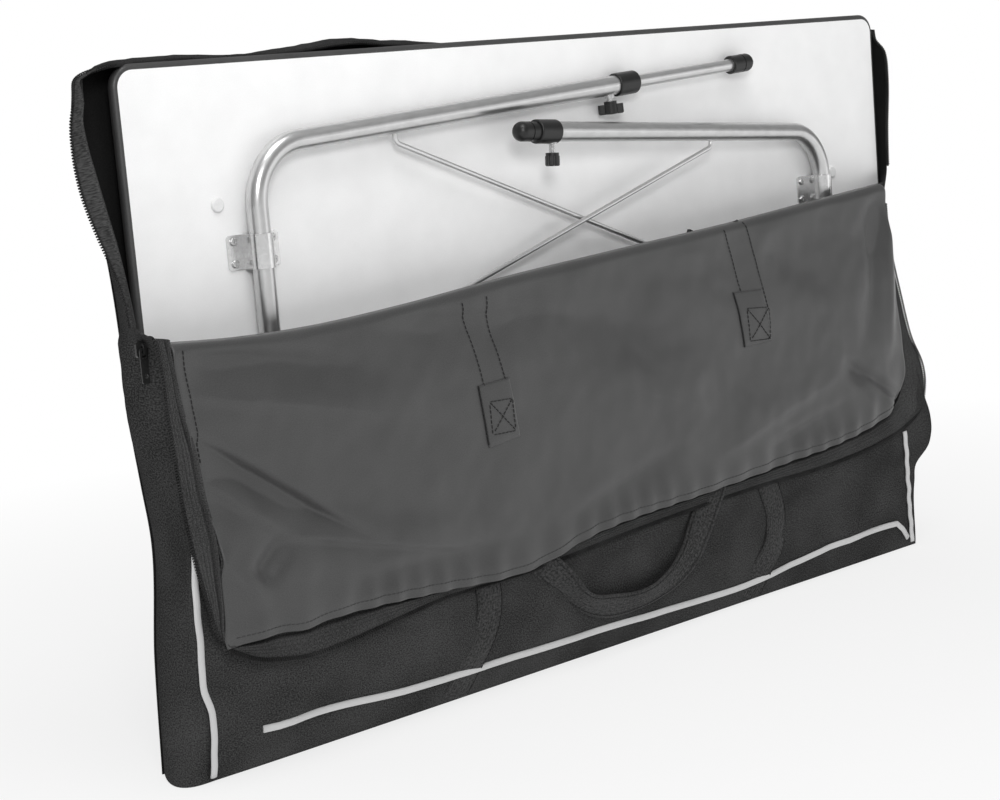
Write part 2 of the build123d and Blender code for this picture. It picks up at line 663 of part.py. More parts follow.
with BuildPart() as zip_tape_flap:
    with BuildSketch(FRONT_FACE.offset(FLAP_GAP)):
        make_face(panel_below_fold(-BAG_SIDE, BAG_SIDE, FOLD_SLACK, FLAP_DROP))
        inside = panel_below_fold(-FLAP_HALF, FLAP_HALF, -FOLD_SLACK, FLAP_DROP - TAPE_WIDTH)
        make_face(inside, mode=Mode.SUBTRACT)
    extrude(amount=2 * FLAP_LAYER)
save(zip_tape_flap, "zip_tape_flap")

# The rear half of the zip runs up both sides and across the top of the rear panel.
SIDE_TAPE_WIDTH = 10.0
SIDE_TAPE_THICKNESS = 2.0
SIDE_TAPE_BOTTOM = 345.0
TOP_TAPE_DEPTH = 7.0
TOP_TAPE_Y = 18.0
TOP_TAPE_DROP = 8.0
with BuildPart() as zip_tape_rear:
    for side in (-1, 1):
        with BuildSketch(Plane.XY.offset(SIDE_TAPE_BOTTOM)):
            with Locations((side * (BAG_HALF_LENGTH - SIDE_TAPE_WIDTH / 2), REAR_GUSSET_FRONT - 1.3)):
                Rectangle(SIDE_TAPE_WIDTH, SIDE_TAPE_THICKNESS)
        extrude(amount=GUSSET_TOP - SIDE_TAPE_BOTTOM)
    with BuildSketch(Plane.XY.offset(BAG_HEIGHT - TOP_TAPE_DROP)):
        with Locations((0, TOP_TAPE_Y)):
            Rectangle(2 * (BAG_SIDE - BAG_CORNER), TOP_TAPE_DEPTH)
    extrude(amount=SIDE_TAPE_THICKNESS)
save(zip_tape_rear, "zip_tape_rear")

SLIDER_X = -BAG_HALF_LENGTH
SLIDER_Z = SIDE_TAPE_BOTTOM + 30.0
SLIDER_SIZE = (9.0, 14.0)
SLIDER_BACK = 3.0 - REAR_GUSSET_FRONT
SLIDER_BODY = 3.0
LOOP_DEPTH = SLIDER_BACK + SLIDER_BODY + 3.0
LOOP_WIDTH = 2.4
LOOP_OUTSIDE = (6.4, 10.0)
LOOP_INSIDE = (3.0, 7.0)
with BuildPart() as zip_slider:
    with BuildSketch(Plane.XZ.offset(SLIDER_BACK)):
        with Locations((SLIDER_X, SLIDER_Z)):
            RectangleRounded(*SLIDER_SIZE, 3.0)
    extrude(amount=SLIDER_BODY)
    with BuildSketch(Plane.YZ.offset(SLIDER_X - LOOP_WIDTH / 2)):
        with Locations((-LOOP_DEPTH + 0.2, SLIDER_Z)):
            RectangleRounded(*LOOP_OUTSIDE, 2.6)
            RectangleRounded(*LOOP_INSIDE, 1.2, mode=Mode.SUBTRACT)
    extrude(amount=LOOP_WIDTH)
save(zip_slider, "zip_slider")

# The pull tab's eye is threaded through the slider's loop, and a round hole takes a cord near its end.
PULL_SIZE = (8.0, 29.0)
PULL_THICKNESS = 1.2
PULL_EYE = (4.4, 6.4)
PULL_EYE_DROP = 4.0
PULL_HOLE_DROP = 22.0
PULL_HOLE_RADIUS = 1.8
with BuildPart() as zip_pull:
    with BuildSketch(Plane.XZ.offset(LOOP_DEPTH - PULL_THICKNESS / 2)):
        with Locations((SLIDER_X, SLIDER_Z + 1.0 - PULL_SIZE[1] / 2)):
            RectangleRounded(*PULL_SIZE, 2.0)
        with Locations((SLIDER_X, SLIDER_Z - PULL_EYE_DROP)):
            RectangleRounded(*PULL_EYE, 1.0, mode=Mode.SUBTRACT)
        with Locations((SLIDER_X, SLIDER_Z - PULL_HOLE_DROP)):
            Circle(PULL_HOLE_RADIUS, mode=Mode.SUBTRACT)
    extrude(amount=PULL_THICKNESS)
save(zip_pull, "zip_pull")

# Piping strips on the front panel: centre across, centre height, width and height of each.
PIPING_WIDTH = 7.0
PIPING_GAP = 0.1
PIPING_THICKNESS = 3.0
PIPING_STRIPS = (
    (-BAG_SIDE + 4.0, 110.0, PIPING_WIDTH, 190.0),
    (-20.0, 32.0, 870.0, PIPING_WIDTH),
    (437.0, 80.0, PIPING_WIDTH, 110.0),
)
with BuildPart() as piping:
    with BuildSketch(FRONT_FACE.offset(PIPING_GAP)):
        for across, height, width, length in PIPING_STRIPS:
            with Locations((across, height)):
                Rectangle(width, length)
    extrude(amount=PIPING_THICKNESS)
save(piping, "piping")


def build_front_webbing(name, gap, bottom):
    """Two vertical webbing strips on one layer of the bag's front, up to the fold."""
    with BuildPart() as webbing:
        with BuildSketch(FRONT_FACE.offset(gap)):
            for middle in STRAP_X:
                left = middle - STRAP_WIDTH / 2
                make_face(panel_below_fold(left, left + STRAP_WIDTH, 2 * FOLD_SLACK, bottom=bottom))
        extrude(amount=STRAP_THICKNESS)
    save(webbing, name)


build_front_webbing("front_straps", FRONT_STRAP_GAP, STRAP_BOTTOM)
build_front_webbing("flap_straps", FLAP_STRAP_GAP, ANCHOR_BOTTOM)


def handle_outline(bottom, top):
    """Front view of a webbing handle: two straps joined by a sagging loop."""
    outer = STRAP_WIDTH / 2
    left, right = STRAP_X
    middle = (left + right) / 2
    outer_turn = bottom + LOOP_SAG
    inner_turn = outer_turn + STRAP_WIDTH / 5
    with BuildLine() as outline:
        Polyline(
            (left - outer, outer_turn), (left - outer, top),
            (left + outer, top), (left + outer, inner_turn),
        )
        ThreePointArc((left + outer, inner_turn), (middle, bottom + STRAP_WIDTH), (right - outer, inner_turn))
        Polyline(
            (right - outer, inner_turn), (right - outer, top),
            (right + outer, top), (right + outer, outer_turn),
        )
        ThreePointArc((right + outer, outer_turn), (middle, bottom), (left - outer, outer_turn))
    make_face(outline.edges())


with BuildPart() as front_handle:
    with BuildSketch(FRONT_FACE.offset(FRONT_HANDLE_GAP)):
        handle_outline(FRONT_LOOP_LOW, ANCHOR_BOTTOM)
    extrude(amount=STRAP_THICKNESS)
save(front_handle, "front_handle")

with BuildPart() as rear_straps:
    with BuildSketch(Plane.XZ.offset(-BAG_BACK - STRAP_THICKNESS - FRONT_STRAP_GAP)):
        for middle in STRAP_X:
            with Locations((middle, (STRAP_BOTTOM + REAR_ANCHOR) / 2)):
                Rectangle(STRAP_WIDTH, REAR_ANCHOR - STRAP_BOTTOM)
    extrude(amount=STRAP_THICKNESS)
save(rear_straps, "rear_straps")

with BuildPart() as rear_handle:
    with BuildSketch(Plane.XZ.offset(-BAG_BACK - 2 * STRAP_THICKNESS - REAR_HANDLE_GAP)):
        handle_outline(REAR_LOOP_LOW, REAR_ANCHOR)
    extrude(amount=STRAP_THICKNESS)
save(rear_handle, "rear_handle")
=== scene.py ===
"""Folding manicure table in its open carry bag: the looks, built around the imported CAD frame.

Metres, in the row's frame: +X along the table, +Y from the underside to the worktop, +Z up, with
the origin on the floor. The soft bag is built here from sheets; the table keeps its CAD shapes and
gets materials.
"""
import json
import math

import bpy
import numpy as np
from mathutils import Matrix, Vector, noise


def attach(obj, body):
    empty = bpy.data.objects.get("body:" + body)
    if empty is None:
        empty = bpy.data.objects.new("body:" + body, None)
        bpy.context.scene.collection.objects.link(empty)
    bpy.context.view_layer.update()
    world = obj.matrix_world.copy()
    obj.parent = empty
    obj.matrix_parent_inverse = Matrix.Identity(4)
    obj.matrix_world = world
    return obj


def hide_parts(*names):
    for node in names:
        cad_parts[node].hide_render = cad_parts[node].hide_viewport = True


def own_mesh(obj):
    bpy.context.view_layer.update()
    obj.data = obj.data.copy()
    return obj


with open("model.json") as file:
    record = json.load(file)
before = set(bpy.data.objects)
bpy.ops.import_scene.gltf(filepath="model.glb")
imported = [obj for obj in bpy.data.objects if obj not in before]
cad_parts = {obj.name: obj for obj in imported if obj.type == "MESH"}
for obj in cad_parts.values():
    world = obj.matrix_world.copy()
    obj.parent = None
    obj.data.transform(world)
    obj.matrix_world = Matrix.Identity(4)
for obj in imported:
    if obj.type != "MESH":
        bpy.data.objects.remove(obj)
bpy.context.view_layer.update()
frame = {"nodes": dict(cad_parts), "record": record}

NODES = frame["nodes"]
MM = 0.001
FLOOR_GAP = 0.0012
BAG_CENTRE = np.array([0.0, 0.0, 0.30])
OUTWARD = np.array([0.0, -1.0, 0.0])
REARWARD = np.array([0.0, 1.0, 0.0])
RIPPLE_ROUGHNESS, RIPPLE_SCALING = 0.9, 2.1


# ---------------------------------------------------------------- curves and sheets

def smooth(points):
    """A smooth function through (x, y) points, flat beyond the ends."""
    xs, ys = np.array(points, float).T
    slopes = np.gradient(ys, xs)

    def value(x):
        x = np.clip(np.asarray(x, float), xs[0], xs[-1])
        i = np.clip(np.searchsorted(xs, x) - 1, 0, len(xs) - 2)
        step = xs[i + 1] - xs[i]
        t = (x - xs[i]) / step
        start = ys[i] * (1 + 2 * t) * (1 - t) ** 2 + slopes[i] * step * t * (1 - t) ** 2
        end = ys[i + 1] * t * t * (3 - 2 * t) + slopes[i + 1] * step * t * t * (t - 1)
        return start + end

    return value


def path_through(points, count):
    """Points spaced along a smooth 3-D path through the given points."""
    points = np.array(points, float)
    along = arc_length(points)
    stations = np.linspace(0, along[-1], count)
    return np.column_stack([smooth(np.column_stack([along, axis]))(stations) for axis in points.T])


def fade(t):
    """Smooth step from 0 to 1."""
    t = np.clip(t, 0, 1)
    return t * t * (3 - 2 * t)


def crease(x, z, start, end, width, height, below=None):
    """A soft fold from start to end, fading at both; its lower side may have its own width."""
    run = np.array(end) - np.array(start)
    length = np.hypot(*run)
    run = run / length
    along = ((x - start[0]) * run[0] + (z - start[1]) * run[1]) / length
    off = (z - start[1]) * run[0] - (x - start[0]) * run[1]
    spread = np.where(off < 0, below or width, width)
    return height * fade(along / 0.25) * fade((1 - along) / 0.45) * np.exp(-(off / spread) ** 2)


def folds(x, z, table):
    """The sum of a table's folds: (start, end, width, height, width below). Hollows are below 0."""
    return sum(crease(x, z, *fold) for fold in table)


def ripple(points, size, seed, octaves=3):
    """Smooth seeded noise at every point, about -1 to 1, with features of the given size.
    The seed only shifts the place the noise is read at."""
    shift = Vector((seed * 7.31, seed * 3.17, seed * 5.53))
    flat = points.reshape(-1, 3)
    values = [noise.fractal(Vector(p) / size + shift, RIPPLE_ROUGHNESS, RIPPLE_SCALING, octaves)
              for p in flat]
    return np.array(values).reshape(points.shape[:-1])


def link(name, data):
    piece = bpy.data.objects.new(name, data)
    bpy.context.scene.collection.objects.link(piece)
    return piece


def arc_length(path):
    """Distance along a path at each of its points."""
    return np.concatenate([[0], np.cumsum(np.linalg.norm(np.diff(path, axis=0), axis=1))])


def unit(vectors):
    return vectors / np.linalg.norm(vectors, axis=-1)[..., None]


def sheet(name, points, material, thickness=1.2 * MM, inner=None, closed=False, smooth_level=0):
    """A quad sheet through rows x columns of points, with a real thickness and UVs in metres.
    closed joins the last row to the first; inner is a second material for the back."""
    rows, columns, _ = points.shape
    across = np.linalg.norm(np.diff(points, axis=1), axis=2).mean(axis=0)
    down = np.linalg.norm(np.diff(points, axis=0), axis=2).mean(axis=1)
    u = np.concatenate([[0], np.cumsum(across)])
    v = np.concatenate([[0], np.cumsum(down)])
    turns = rows if closed else rows - 1
    faces, corners = [], []
    for r in range(turns):
        for c in range(columns - 1):
            n = (r + 1) % rows
            here, there = r * columns + c, n * columns + c
            faces.append((here, here + 1, there + 1, there))
            low = v[r] + (v[1] if n == 0 else v[n] - v[r])
            corners += [(u[c], v[r]), (u[c + 1], v[r]), (u[c + 1], low), (u[c], low)]
    mesh = bpy.data.meshes.new(name)
    mesh.from_pydata(points.reshape(-1, 3).tolist(), [], faces)
    layer = mesh.uv_layers.new(name="cloth")
    layer.data.foreach_set("uv", np.array(corners, np.float32).ravel())
    mesh.materials.append(material)
    mesh.polygons.foreach_set("use_smooth", [True] * len(mesh.polygons))
    piece = link(name, mesh)
    if inner:
        mesh.materials.append(inner)
    if smooth_level:
        finer = piece.modifiers.new("finer", "SUBSURF")
        finer.levels = finer.render_levels = smooth_level
    solid = piece.modifiers.new("thickness", "SOLIDIFY")
    solid.thickness = thickness
    solid.offset = 0.0
    solid.material_offset = 1 if inner else 0
    return piece


def ribbon(path, normals, width, columns=9, edge_drop=0.6 * MM):
    """Rows x columns of points of a flat ribbon along a path, facing the normals.
    Its edges lie a little lower."""
    side = unit(np.cross(np.gradient(path, axis=0), normals))
    share = np.linspace(-1, 1, columns)
    rows = path[:, None, :] + side[:, None, :] * (share * width / 2)[None, :, None]
    return rows - normals[:, None, :] * (edge_drop * share ** 4)[None, :, None]


def tube(path, radii, sides=8):
    """Closed-section tube along a path, as vertices and faces, with flat end caps.
    radii is (across, out)."""
    tangent = unit(np.gradient(path, axis=0))
    side = unit(np.cross(tangent, OUTWARD))
    out = np.cross(side, tangent)
    angles = np.linspace(0, 2 * math.pi, sides, endpoint=False)
    ring = side[:, None] * (np.cos(angles) * radii[0])[None, :, None]
    ring = ring + out[:, None] * (np.sin(angles) * radii[1])[None, :, None]
    verts = (path[:, None] + ring).reshape(-1, 3)
    faces = []
    for r in range(len(path) - 1):
        for k in range(sides):
            n = (k + 1) % sides
            faces.append((r * sides + k, (r + 1) * sides + k, (r + 1) * sides + n, r * sides + n))
    last = (len(path) - 1) * sides
    faces.append(tuple(range(sides)))
    faces.append(tuple(last + k for k in reversed(range(sides))))
    return verts, faces


def mesh_piece(name, parts, material):
    """One mesh piece out of several (vertices, faces) parts."""
    verts, faces, start = [], [], 0
    for part_verts, part_faces in parts:
        verts += np.asarray(part_verts).tolist()
        faces += [tuple(start + i for i in face) for face in part_faces]
        start += len(part_verts)
    mesh = bpy.data.meshes.new(name)
    mesh.from_pydata(verts, [], faces)
    mesh.materials.append(material)
    mesh.polygons.foreach_set("use_smooth", [True] * len(mesh.polygons))
    return link(name, mesh)


def stitches(path, length=3.2 * MM, gap=1.3 * MM, radius=0.45 * MM):
    """Thread dashes along a path, as parts for mesh_piece."""
    along = arc_length(path)
    parts = []
    start = gap
    while start + length < along[-1]:
        stations = np.linspace(start, start + length, 4)
        dash = np.column_stack([np.interp(stations, along, path[:, k]) for k in range(3)])
        dash[1:3, 1] -= radius * 0.6
        parts.append(tube(dash, (radius, radius), sides=5))
        start += length + gap
    return parts


COIL_STEPS = 7


def coil(path, radius=1.5 * MM, wire=0.75 * MM, pitch=2.4 * MM):
    """The zip's nylon coil along a path: a fine helix, as one part for mesh_piece."""
    along = arc_length(path)
    turns = int(along[-1] / pitch)
    steps = turns * COIL_STEPS
    stations = np.linspace(0, along[-1], steps)
    centre = np.column_stack([np.interp(stations, along, path[:, k]) for k in range(3)])
    tangent = unit(np.gradient(centre, axis=0))
    first = unit(np.cross(tangent, REARWARD))
    second = np.cross(tangent, first)
    angle = np.linspace(0, turns * 2 * math.pi, steps)[:, None]
    helix = centre + radius * (np.cos(angle) * first + np.sin(angle) * second)
    return tube(helix, (wire, wire), sides=4)


# ---------------------------------------------------------------- materials

def new_material(name):
    material = bpy.data.materials.new(name)
    material.use_nodes = True
    tree = material.node_tree
    return material, tree, tree.nodes["Principled BSDF"]


def feed(tree, node, inputs):
    """Sets a node's inputs to values, or links them from sockets."""
    for key, value in inputs.items():
        if isinstance(value, bpy.types.NodeSocket):
            tree.links.new(value, node.inputs[key])
        else:
            node.inputs[key].default_value = value


def add(tree, kind, inputs=None, **settings):
    """Adds a shader node with its settings and inputs."""
    node = tree.nodes.new(kind)
    for key, value in settings.items():
        setattr(node, key, value)
    feed(tree, node, inputs or {})
    return node


def grey(value):
    """Linear colour of an sRGB grey given as 0 to 255."""
    c = value / 255
    linear = c / 12.92 if c <= 0.04045 else ((c + 0.055) / 1.055) ** 2.4
    return (linear, linear, linear, 1.0)


def mixed_greys(tree, dark, light, factor):
    inputs = {"A": grey(dark), "B": grey(light), "Factor": factor}
    return add(tree, "ShaderNodeMix", inputs, data_type="RGBA").outputs["Result"]


BLOTCHES_PER_METRE, BLOTCH_SHARE = 14.0, 0.35


def bands(tree, place, direction, pitch, **waviness):
    """Straight bands, each a pitch wide in metres: at scale 1 a wave texture's are pi / 20 wide."""
    inputs = {"Vector": place, "Scale": 1 / (pitch * 20 / math.pi), **waviness}
    return add(tree, "ShaderNodeTexWave", inputs, bands_direction=direction).outputs["Fac"]


def combine(tree, operation, *inputs):
    """The result of a maths node on sockets or numbers."""
    return add(tree, "ShaderNodeMath", dict(enumerate(inputs)), operation=operation).outputs[0]


def fabric(name, dark, light, pitch, rough=0.8, sheen=0.2, weave=0.5, rib=0.0, gloss=0.3):
    """Woven cloth: crossing threads at a pitch, an uneven tone, and slight sheen.
    rib adds ribs across the length."""
    material, tree, bsdf = new_material(name)
    place = add(tree, "ShaderNodeTexCoord").outputs["UV"]
    warp = bands(tree, place, "X", pitch, Distortion=0.4, Detail=1.0)
    weft = bands(tree, place, "Y", pitch, Distortion=0.4, Detail=1.0)
    threads = combine(tree, "MAXIMUM", warp, weft)
    speck = add(tree, "ShaderNodeTexNoise", {"Vector": place, "Scale": 1 / (pitch * 2.5),
                                             "Detail": 3.0}).outputs["Fac"]
    blotch = add(tree, "ShaderNodeTexNoise", {"Vector": place, "Scale": BLOTCHES_PER_METRE,
                                              "Detail": 4.0}).outputs["Fac"]
    tone = combine(tree, "MULTIPLY_ADD", blotch, BLOTCH_SHARE, speck)
    factor = add(tree, "ShaderNodeMapRange", {"Value": tone, "From Min": 0.53, "From Max": 0.82})
    colour = mixed_greys(tree, dark, light, factor.outputs["Result"])
    height = combine(tree, "ADD", threads, speck)
    if rib:
        height = combine(tree, "ADD", height, bands(tree, place, "X", rib))
    relief = {"Height": height, "Strength": weave, "Distance": pitch * 0.5}
    bump = add(tree, "ShaderNodeBump", relief)
    feed(tree, bsdf, {"Base Color": colour, "Normal": bump.outputs["Normal"], "Roughness": rough,
                      "Sheen Weight": sheen, "Sheen Roughness": 0.45,
                      "Specular IOR Level": gloss})
    return material


def hard(name, dark, light, rough, metal=0.0, grain=400.0, bump=0.08, streak=None, shine=0.5):
    """Moulded, laminated or metal surface: fine grain in tone, roughness and bump.
    streak stretches the grain."""
    material, tree, bsdf = new_material(name)
    place = add(tree, "ShaderNodeTexCoord").outputs["Object"]
    if streak:
        place = add(tree, "ShaderNodeMapping", {"Vector": place, "Scale": streak}).outputs["Vector"]
    fine = add(tree, "ShaderNodeTexNoise", {"Vector": place, "Scale": grain, "Detail": 4.0})
    broad = add(tree, "ShaderNodeTexNoise", {"Vector": place, "Scale": grain / 30, "Detail": 2.0})
    tone = combine(tree, "ADD", fine.outputs["Fac"], broad.outputs["Fac"])
    factor = add(tree, "ShaderNodeMapRange", {"Value": tone, "From Min": 0.75, "From Max": 1.25})
    colour = mixed_greys(tree, dark, light, factor.outputs["Result"])
    gloss = add(tree, "ShaderNodeMapRange", {"Value": fine.outputs["Fac"], "To Min": rough * 0.85,
                                             "To Max": rough * 1.15})
    relief = add(tree, "ShaderNodeBump", {"Height": fine.outputs["Fac"], "Strength": bump,
                                          "Distance": 0.2 * MM})
    feed(tree, bsdf, {"Base Color": colour, "Roughness": gloss.outputs["Result"],
                      "Normal": relief.outputs["Normal"], "Metallic": metal,
                      "Specular IOR Level": shine})
    return material


CANVAS = fabric("canvas", 42, 78, 0.55 * MM, rough=0.95, sheen=0.0, weave=0.9, gloss=0.0)
# The canvas's inner face is a darker copy of the canvas: painted shade for the dark inside of the
# bag.
PAINTED_SHADE_INSIDE = fabric("canvas_inside_painted_shade", 12, 20, 0.55 * MM, rough=0.95, sheen=0.0, weave=0.4)
LINING = fabric("lining", 54, 68, 0.4 * MM, rough=0.42, sheen=0.10, weave=0.25, gloss=0.55)
WEBBING = fabric("webbing", 40, 76, 0.9 * MM, rough=0.85, sheen=0.04, gloss=0.12, weave=1.0,
                 rib=1.6 * MM)
TAPE = fabric("zip_tape", 48, 80, 0.5 * MM, rough=0.95, sheen=0.0, gloss=0.0, weave=0.5)
PIPING = fabric("piping", 196, 210, 0.8 * MM, rough=0.7, sheen=0.05, weave=0.4)
# The thread colour also draws the painted shadow down the patches' left edges.
THREAD = hard("thread", 14, 24, 0.6, grain=900.0)
HEM_THREAD = hard("hem_thread", 48, 60, 0.6, grain=900.0)
COIL = hard("zip_coil", 34, 60, 0.6, grain=900.0, shine=0.08)

CAD_LOOKS = {
    "laminate_white": hard("laminate", 243, 249, 0.42, grain=900.0, bump=0.05),
    "trim_black": hard("trim", 58, 70, 0.42, grain=700.0, bump=0.05),
    "tube_silver": hard("tube", 196, 212, 0.30, metal=0.9, grain=500.0, bump=0.03,
                        streak=(0.15, 1.0, 0.15)),
    "wire_silver": hard("wire", 205, 222, 0.3, metal=0.85, grain=600.0, bump=0.03),
    "bracket_zinc": hard("bracket", 205, 222, 0.22, metal=0.9, grain=350.0, bump=0.05),
    "screw_zinc": hard("screw", 190, 210, 0.28, metal=0.9, grain=600.0),
    "plastic_black": hard("black_plastic", 16, 26, 0.38, grain=500.0, bump=0.12),
    "cap_white": hard("cap", 225, 235, 0.4, grain=500.0),
    "zip_metal": hard("zip_metal", 40, 58, 0.35, metal=0.5, grain=600.0),
}


def dress_cad_nodes():
    """Gives every CAD node that stays in view the procedural material of its slot."""
    for part in frame["record"]["subparts"]:
        look = CAD_LOOKS.get(part.get("material_slot"))
        if look:
            mesh = NODES[part["node"]].data
            mesh.materials.clear()
            mesh.materials.append(look)


# ---------------------------------------------------------------- the bag's form

FRONT_Y = -0.064
TURN = 0.032 / 1.044


def front_y(x):
    """The flat of the bag's front, which stands further out at the left."""
    return FRONT_Y + TURN * x


# The flap's fold and hem: (across, height).
fold_z = smooth([(-0.53, 0.383), (-0.47, 0.378), (-0.39, 0.3755), (-0.285, 0.379), (-0.166, 0.387),
                 (0.0, 0.395), (0.18, 0.403), (0.28, 0.409), (0.45, 0.419)])
hem_z = smooth([(-0.51, 0.127), (-0.49, 0.129), (-0.45, 0.1295), (-0.43, 0.127), (-0.398, 0.129),
                (-0.343, 0.127), (-0.272, 0.122), (-0.151, 0.1175), (-0.072, 0.131), (0.049, 0.137),
                (0.181, 0.141), (0.319, 0.149), (0.44, 0.167)])

# The front panel's side edges: (height, across). The left one carries the piping.
front_left_x = smooth([(0.0, -0.498), (0.03, -0.500), (0.066, -0.505), (0.091, -0.514),
                       (0.128, -0.518), (0.171, -0.521), (0.214, -0.518), (0.30, -0.517),
                       (0.38, -0.516)])
front_right_x = smooth([(0.0, 0.470), (0.075, 0.468), (0.096, 0.474), (0.110, 0.497),
                        (0.124, 0.505), (0.145, 0.505), (0.17, 0.495), (0.20, 0.484),
                        (0.25, 0.461), (0.30, 0.449), (0.36, 0.440), (0.42, 0.437)])

# How far the left edge of the front panel is drawn back: (height, depth).
left_draw = smooth([(0.0, 0.002), (0.03, 0.008), (0.066, 0.012), (0.091, 0.0135), (0.128, 0.013),
                    (0.171, 0.011), (0.214, 0.009), (0.30, 0.004), (0.37, 0.0)])


def front_panel_y(x, z):
    """Depth of the front panel: its foot is drawn back towards the board, most at the left."""
    foot = np.clip(0.027 - 0.047 * x, 0.002, 0.05)
    reach = 0.105 + 0.07 * fade((-0.25 - x) / 0.25)
    edge = left_draw(z) * np.exp(-((np.clip(x + 0.515, 0, 1) / 0.045) ** 1.5))
    return front_y(x) + foot * np.clip(1 - z / reach, 0, 1) ** 2 + edge


FRONT_FOLDS = (
    ((-0.505, 0.005), (-0.36, 0.095), 0.010, 0.006, 0.022),
    ((-0.44, 0.015), (-0.30, 0.07), 0.016, -0.005),
    ((0.30, 0.025), (0.47, 0.075), 0.009, 0.006),
    ((0.18, 0.03), (0.33, 0.13), 0.014, 0.004),
    ((-0.16, 0.03), (-0.10, 0.12), 0.016, 0.003),
    ((0.22, 0.13), (0.46, 0.085), 0.012, 0.004),
)


def front_surface(u, z):
    """Points of the front panel at shares u across and heights z, with its sags and creases."""
    x = front_left_x(z) + (front_right_x(z) - front_left_x(z)) * u
    points = np.stack([x, front_panel_y(x, z), z], axis=-1)
    out = folds(x, z, FRONT_FOLDS)
    inner = np.minimum(1, np.minimum(u, 1 - u) / 0.04)
    out = (out + 0.0026 * ripple(points, 0.09, 1) * inner) * fade((0.165 - z) / 0.05)
    points[..., 1] -= out * fade(z / 0.03)
    return points


def to_front(x, z):
    """A point on the front panel's surface at a place across and up."""
    left, right = front_left_x(z), front_right_x(z)
    return front_surface((x - left) / (right - left), z)


# ---------------------------------------------------------------- bag pieces

def build_front_panel():
    """The bag's front, from its fold down to the floor."""
    u, v = np.meshgrid(np.linspace(0, 1, 260), np.linspace(1, 0, 110))
    side_z = v * 0.38
    x = front_left_x(side_z) + (front_right_x(side_z) - front_left_x(side_z)) * u
    z = FLOOR_GAP + (fold_z(x) - FLOOR_GAP) * v
    return sheet("bag_front_skin", front_surface(u, z), CANVAS)


GUSSET_COLUMNS = 16


def loft(front, middle, rear):
    """Rows of points bent smoothly from front through middle to rear."""
    t = np.linspace(0, 1, GUSSET_COLUMNS)[None, :, None]
    control = (2 * middle - 0.5 * (front + rear))[:, None]
    return front[:, None] * (1 - t) ** 2 + control * 2 * t * (1 - t) + rear[:, None] * t ** 2


# Left side of the bag: (height, across) of its bulge beside the board, its rear seam, and its open
# front edge, which folds at the crease and turns outward to the zip.
left_bulge_x = smooth([(0.0, -0.520), (0.04, -0.521), (0.074, -0.519), (0.109, -0.5185),
                       (0.16, -0.5125), (0.19, -0.5085), (0.21, -0.506), (0.246, -0.5095),
                       (0.28, -0.513), (0.31, -0.516), (0.347, -0.516), (0.404, -0.516),
                       (0.46, -0.523), (0.485, -0.529), (0.522, -0.535), (0.546, -0.536),
                       (0.569, -0.534), (0.597, -0.527)])
left_seam_x = smooth([(0.0, -0.508), (0.10, -0.503), (0.205, -0.4935), (0.25, -0.4975),
                      (0.305, -0.502), (0.37, -0.502), (0.46, -0.508), (0.53, -0.520),
                      (0.575, -0.523), (0.60, -0.517)])
left_crease_x = smooth([(0.35, -0.522), (0.383, -0.524), (0.423, -0.528), (0.462, -0.534),
                        (0.485, -0.539), (0.514, -0.545), (0.546, -0.551), (0.562, -0.552),
                        (0.577, -0.548), (0.60, -0.530)])
left_zip_x = smooth([(0.35, -0.521), (0.386, -0.523), (0.405, -0.5245), (0.422, -0.527),
                     (0.446, -0.535), (0.473, -0.545), (0.505, -0.554), (0.537, -0.557),
                     (0.562, -0.555), (0.577, -0.550), (0.589, -0.543), (0.60, -0.530)])
# Right side of the bag, the same way, and its rear top edge: (across, height).
right_bulge_x = smooth([(0.0, 0.512), (0.09, 0.516), (0.2, 0.519), (0.24, 0.517), (0.276, 0.512),
                        (0.312, 0.506), (0.35, 0.503), (0.43, 0.5030), (0.472, 0.5050),
                        (0.528, 0.5105), (0.56, 0.5095), (0.597, 0.506)])
right_seam_x = smooth([(0.0, 0.508), (0.2, 0.508), (0.4, 0.503), (0.54, 0.508), (0.60, 0.507)])
rear_top_z = smooth([(-0.535, 0.588), (-0.519, 0.594), (-0.506, 0.6005), (-0.49, 0.604),
                     (-0.46, 0.606), (-0.42, 0.607), (-0.38, 0.6045), (-0.349, 0.6045),
                     (-0.306, 0.607), (-0.238, 0.612), (-0.204, 0.609), (-0.144, 0.6035),
                     (-0.05, 0.598), (0.1, 0.5965), (0.3, 0.597), (0.45, 0.595), (0.50, 0.585)])
REAR_Y = 0.0235
LEFT_TOP, RIGHT_TOP = 0.592, 0.585
LEFT_SPLIT, LEFT_OPEN = 0.374, 0.392
RIGHT_SPLIT, RIGHT_OPEN = 0.40, 0.43
CREASE_Y, ZIP_Y_LEFT, ZIP_Y_RIGHT = -0.036, -0.025, -0.008


def left_top_turn(z):
    """Rises from 0 to 1 where the open left edge turns back into the top."""
    return fade((z - 0.572) / 0.028)


def left_side():
    """The gusset's left side, from the top down. It is closed below the slider and open above."""
    z = np.linspace(LEFT_TOP, FLOOR_GAP, 170)
    open_part = fade((z - LEFT_SPLIT) / (LEFT_OPEN - LEFT_SPLIT))
    front_x = front_left_x(z) * (1 - open_part) + left_crease_x(z) * open_part
    closed_y = front_panel_y(front_left_x(z), z)
    crease_y = CREASE_Y + 0.030 * left_top_turn(z)
    front = np.column_stack([front_x, closed_y * (1 - open_part) + crease_y * open_part, z])
    middle = np.column_stack([left_bulge_x(z), np.full_like(z, -0.004), z])
    middle[:, 1] -= 0.012 * fade((0.33 - z) / 0.1)
    rear = np.column_stack([left_seam_x(z), np.full_like(z, REAR_Y), z])
    return loft(front, middle, rear)


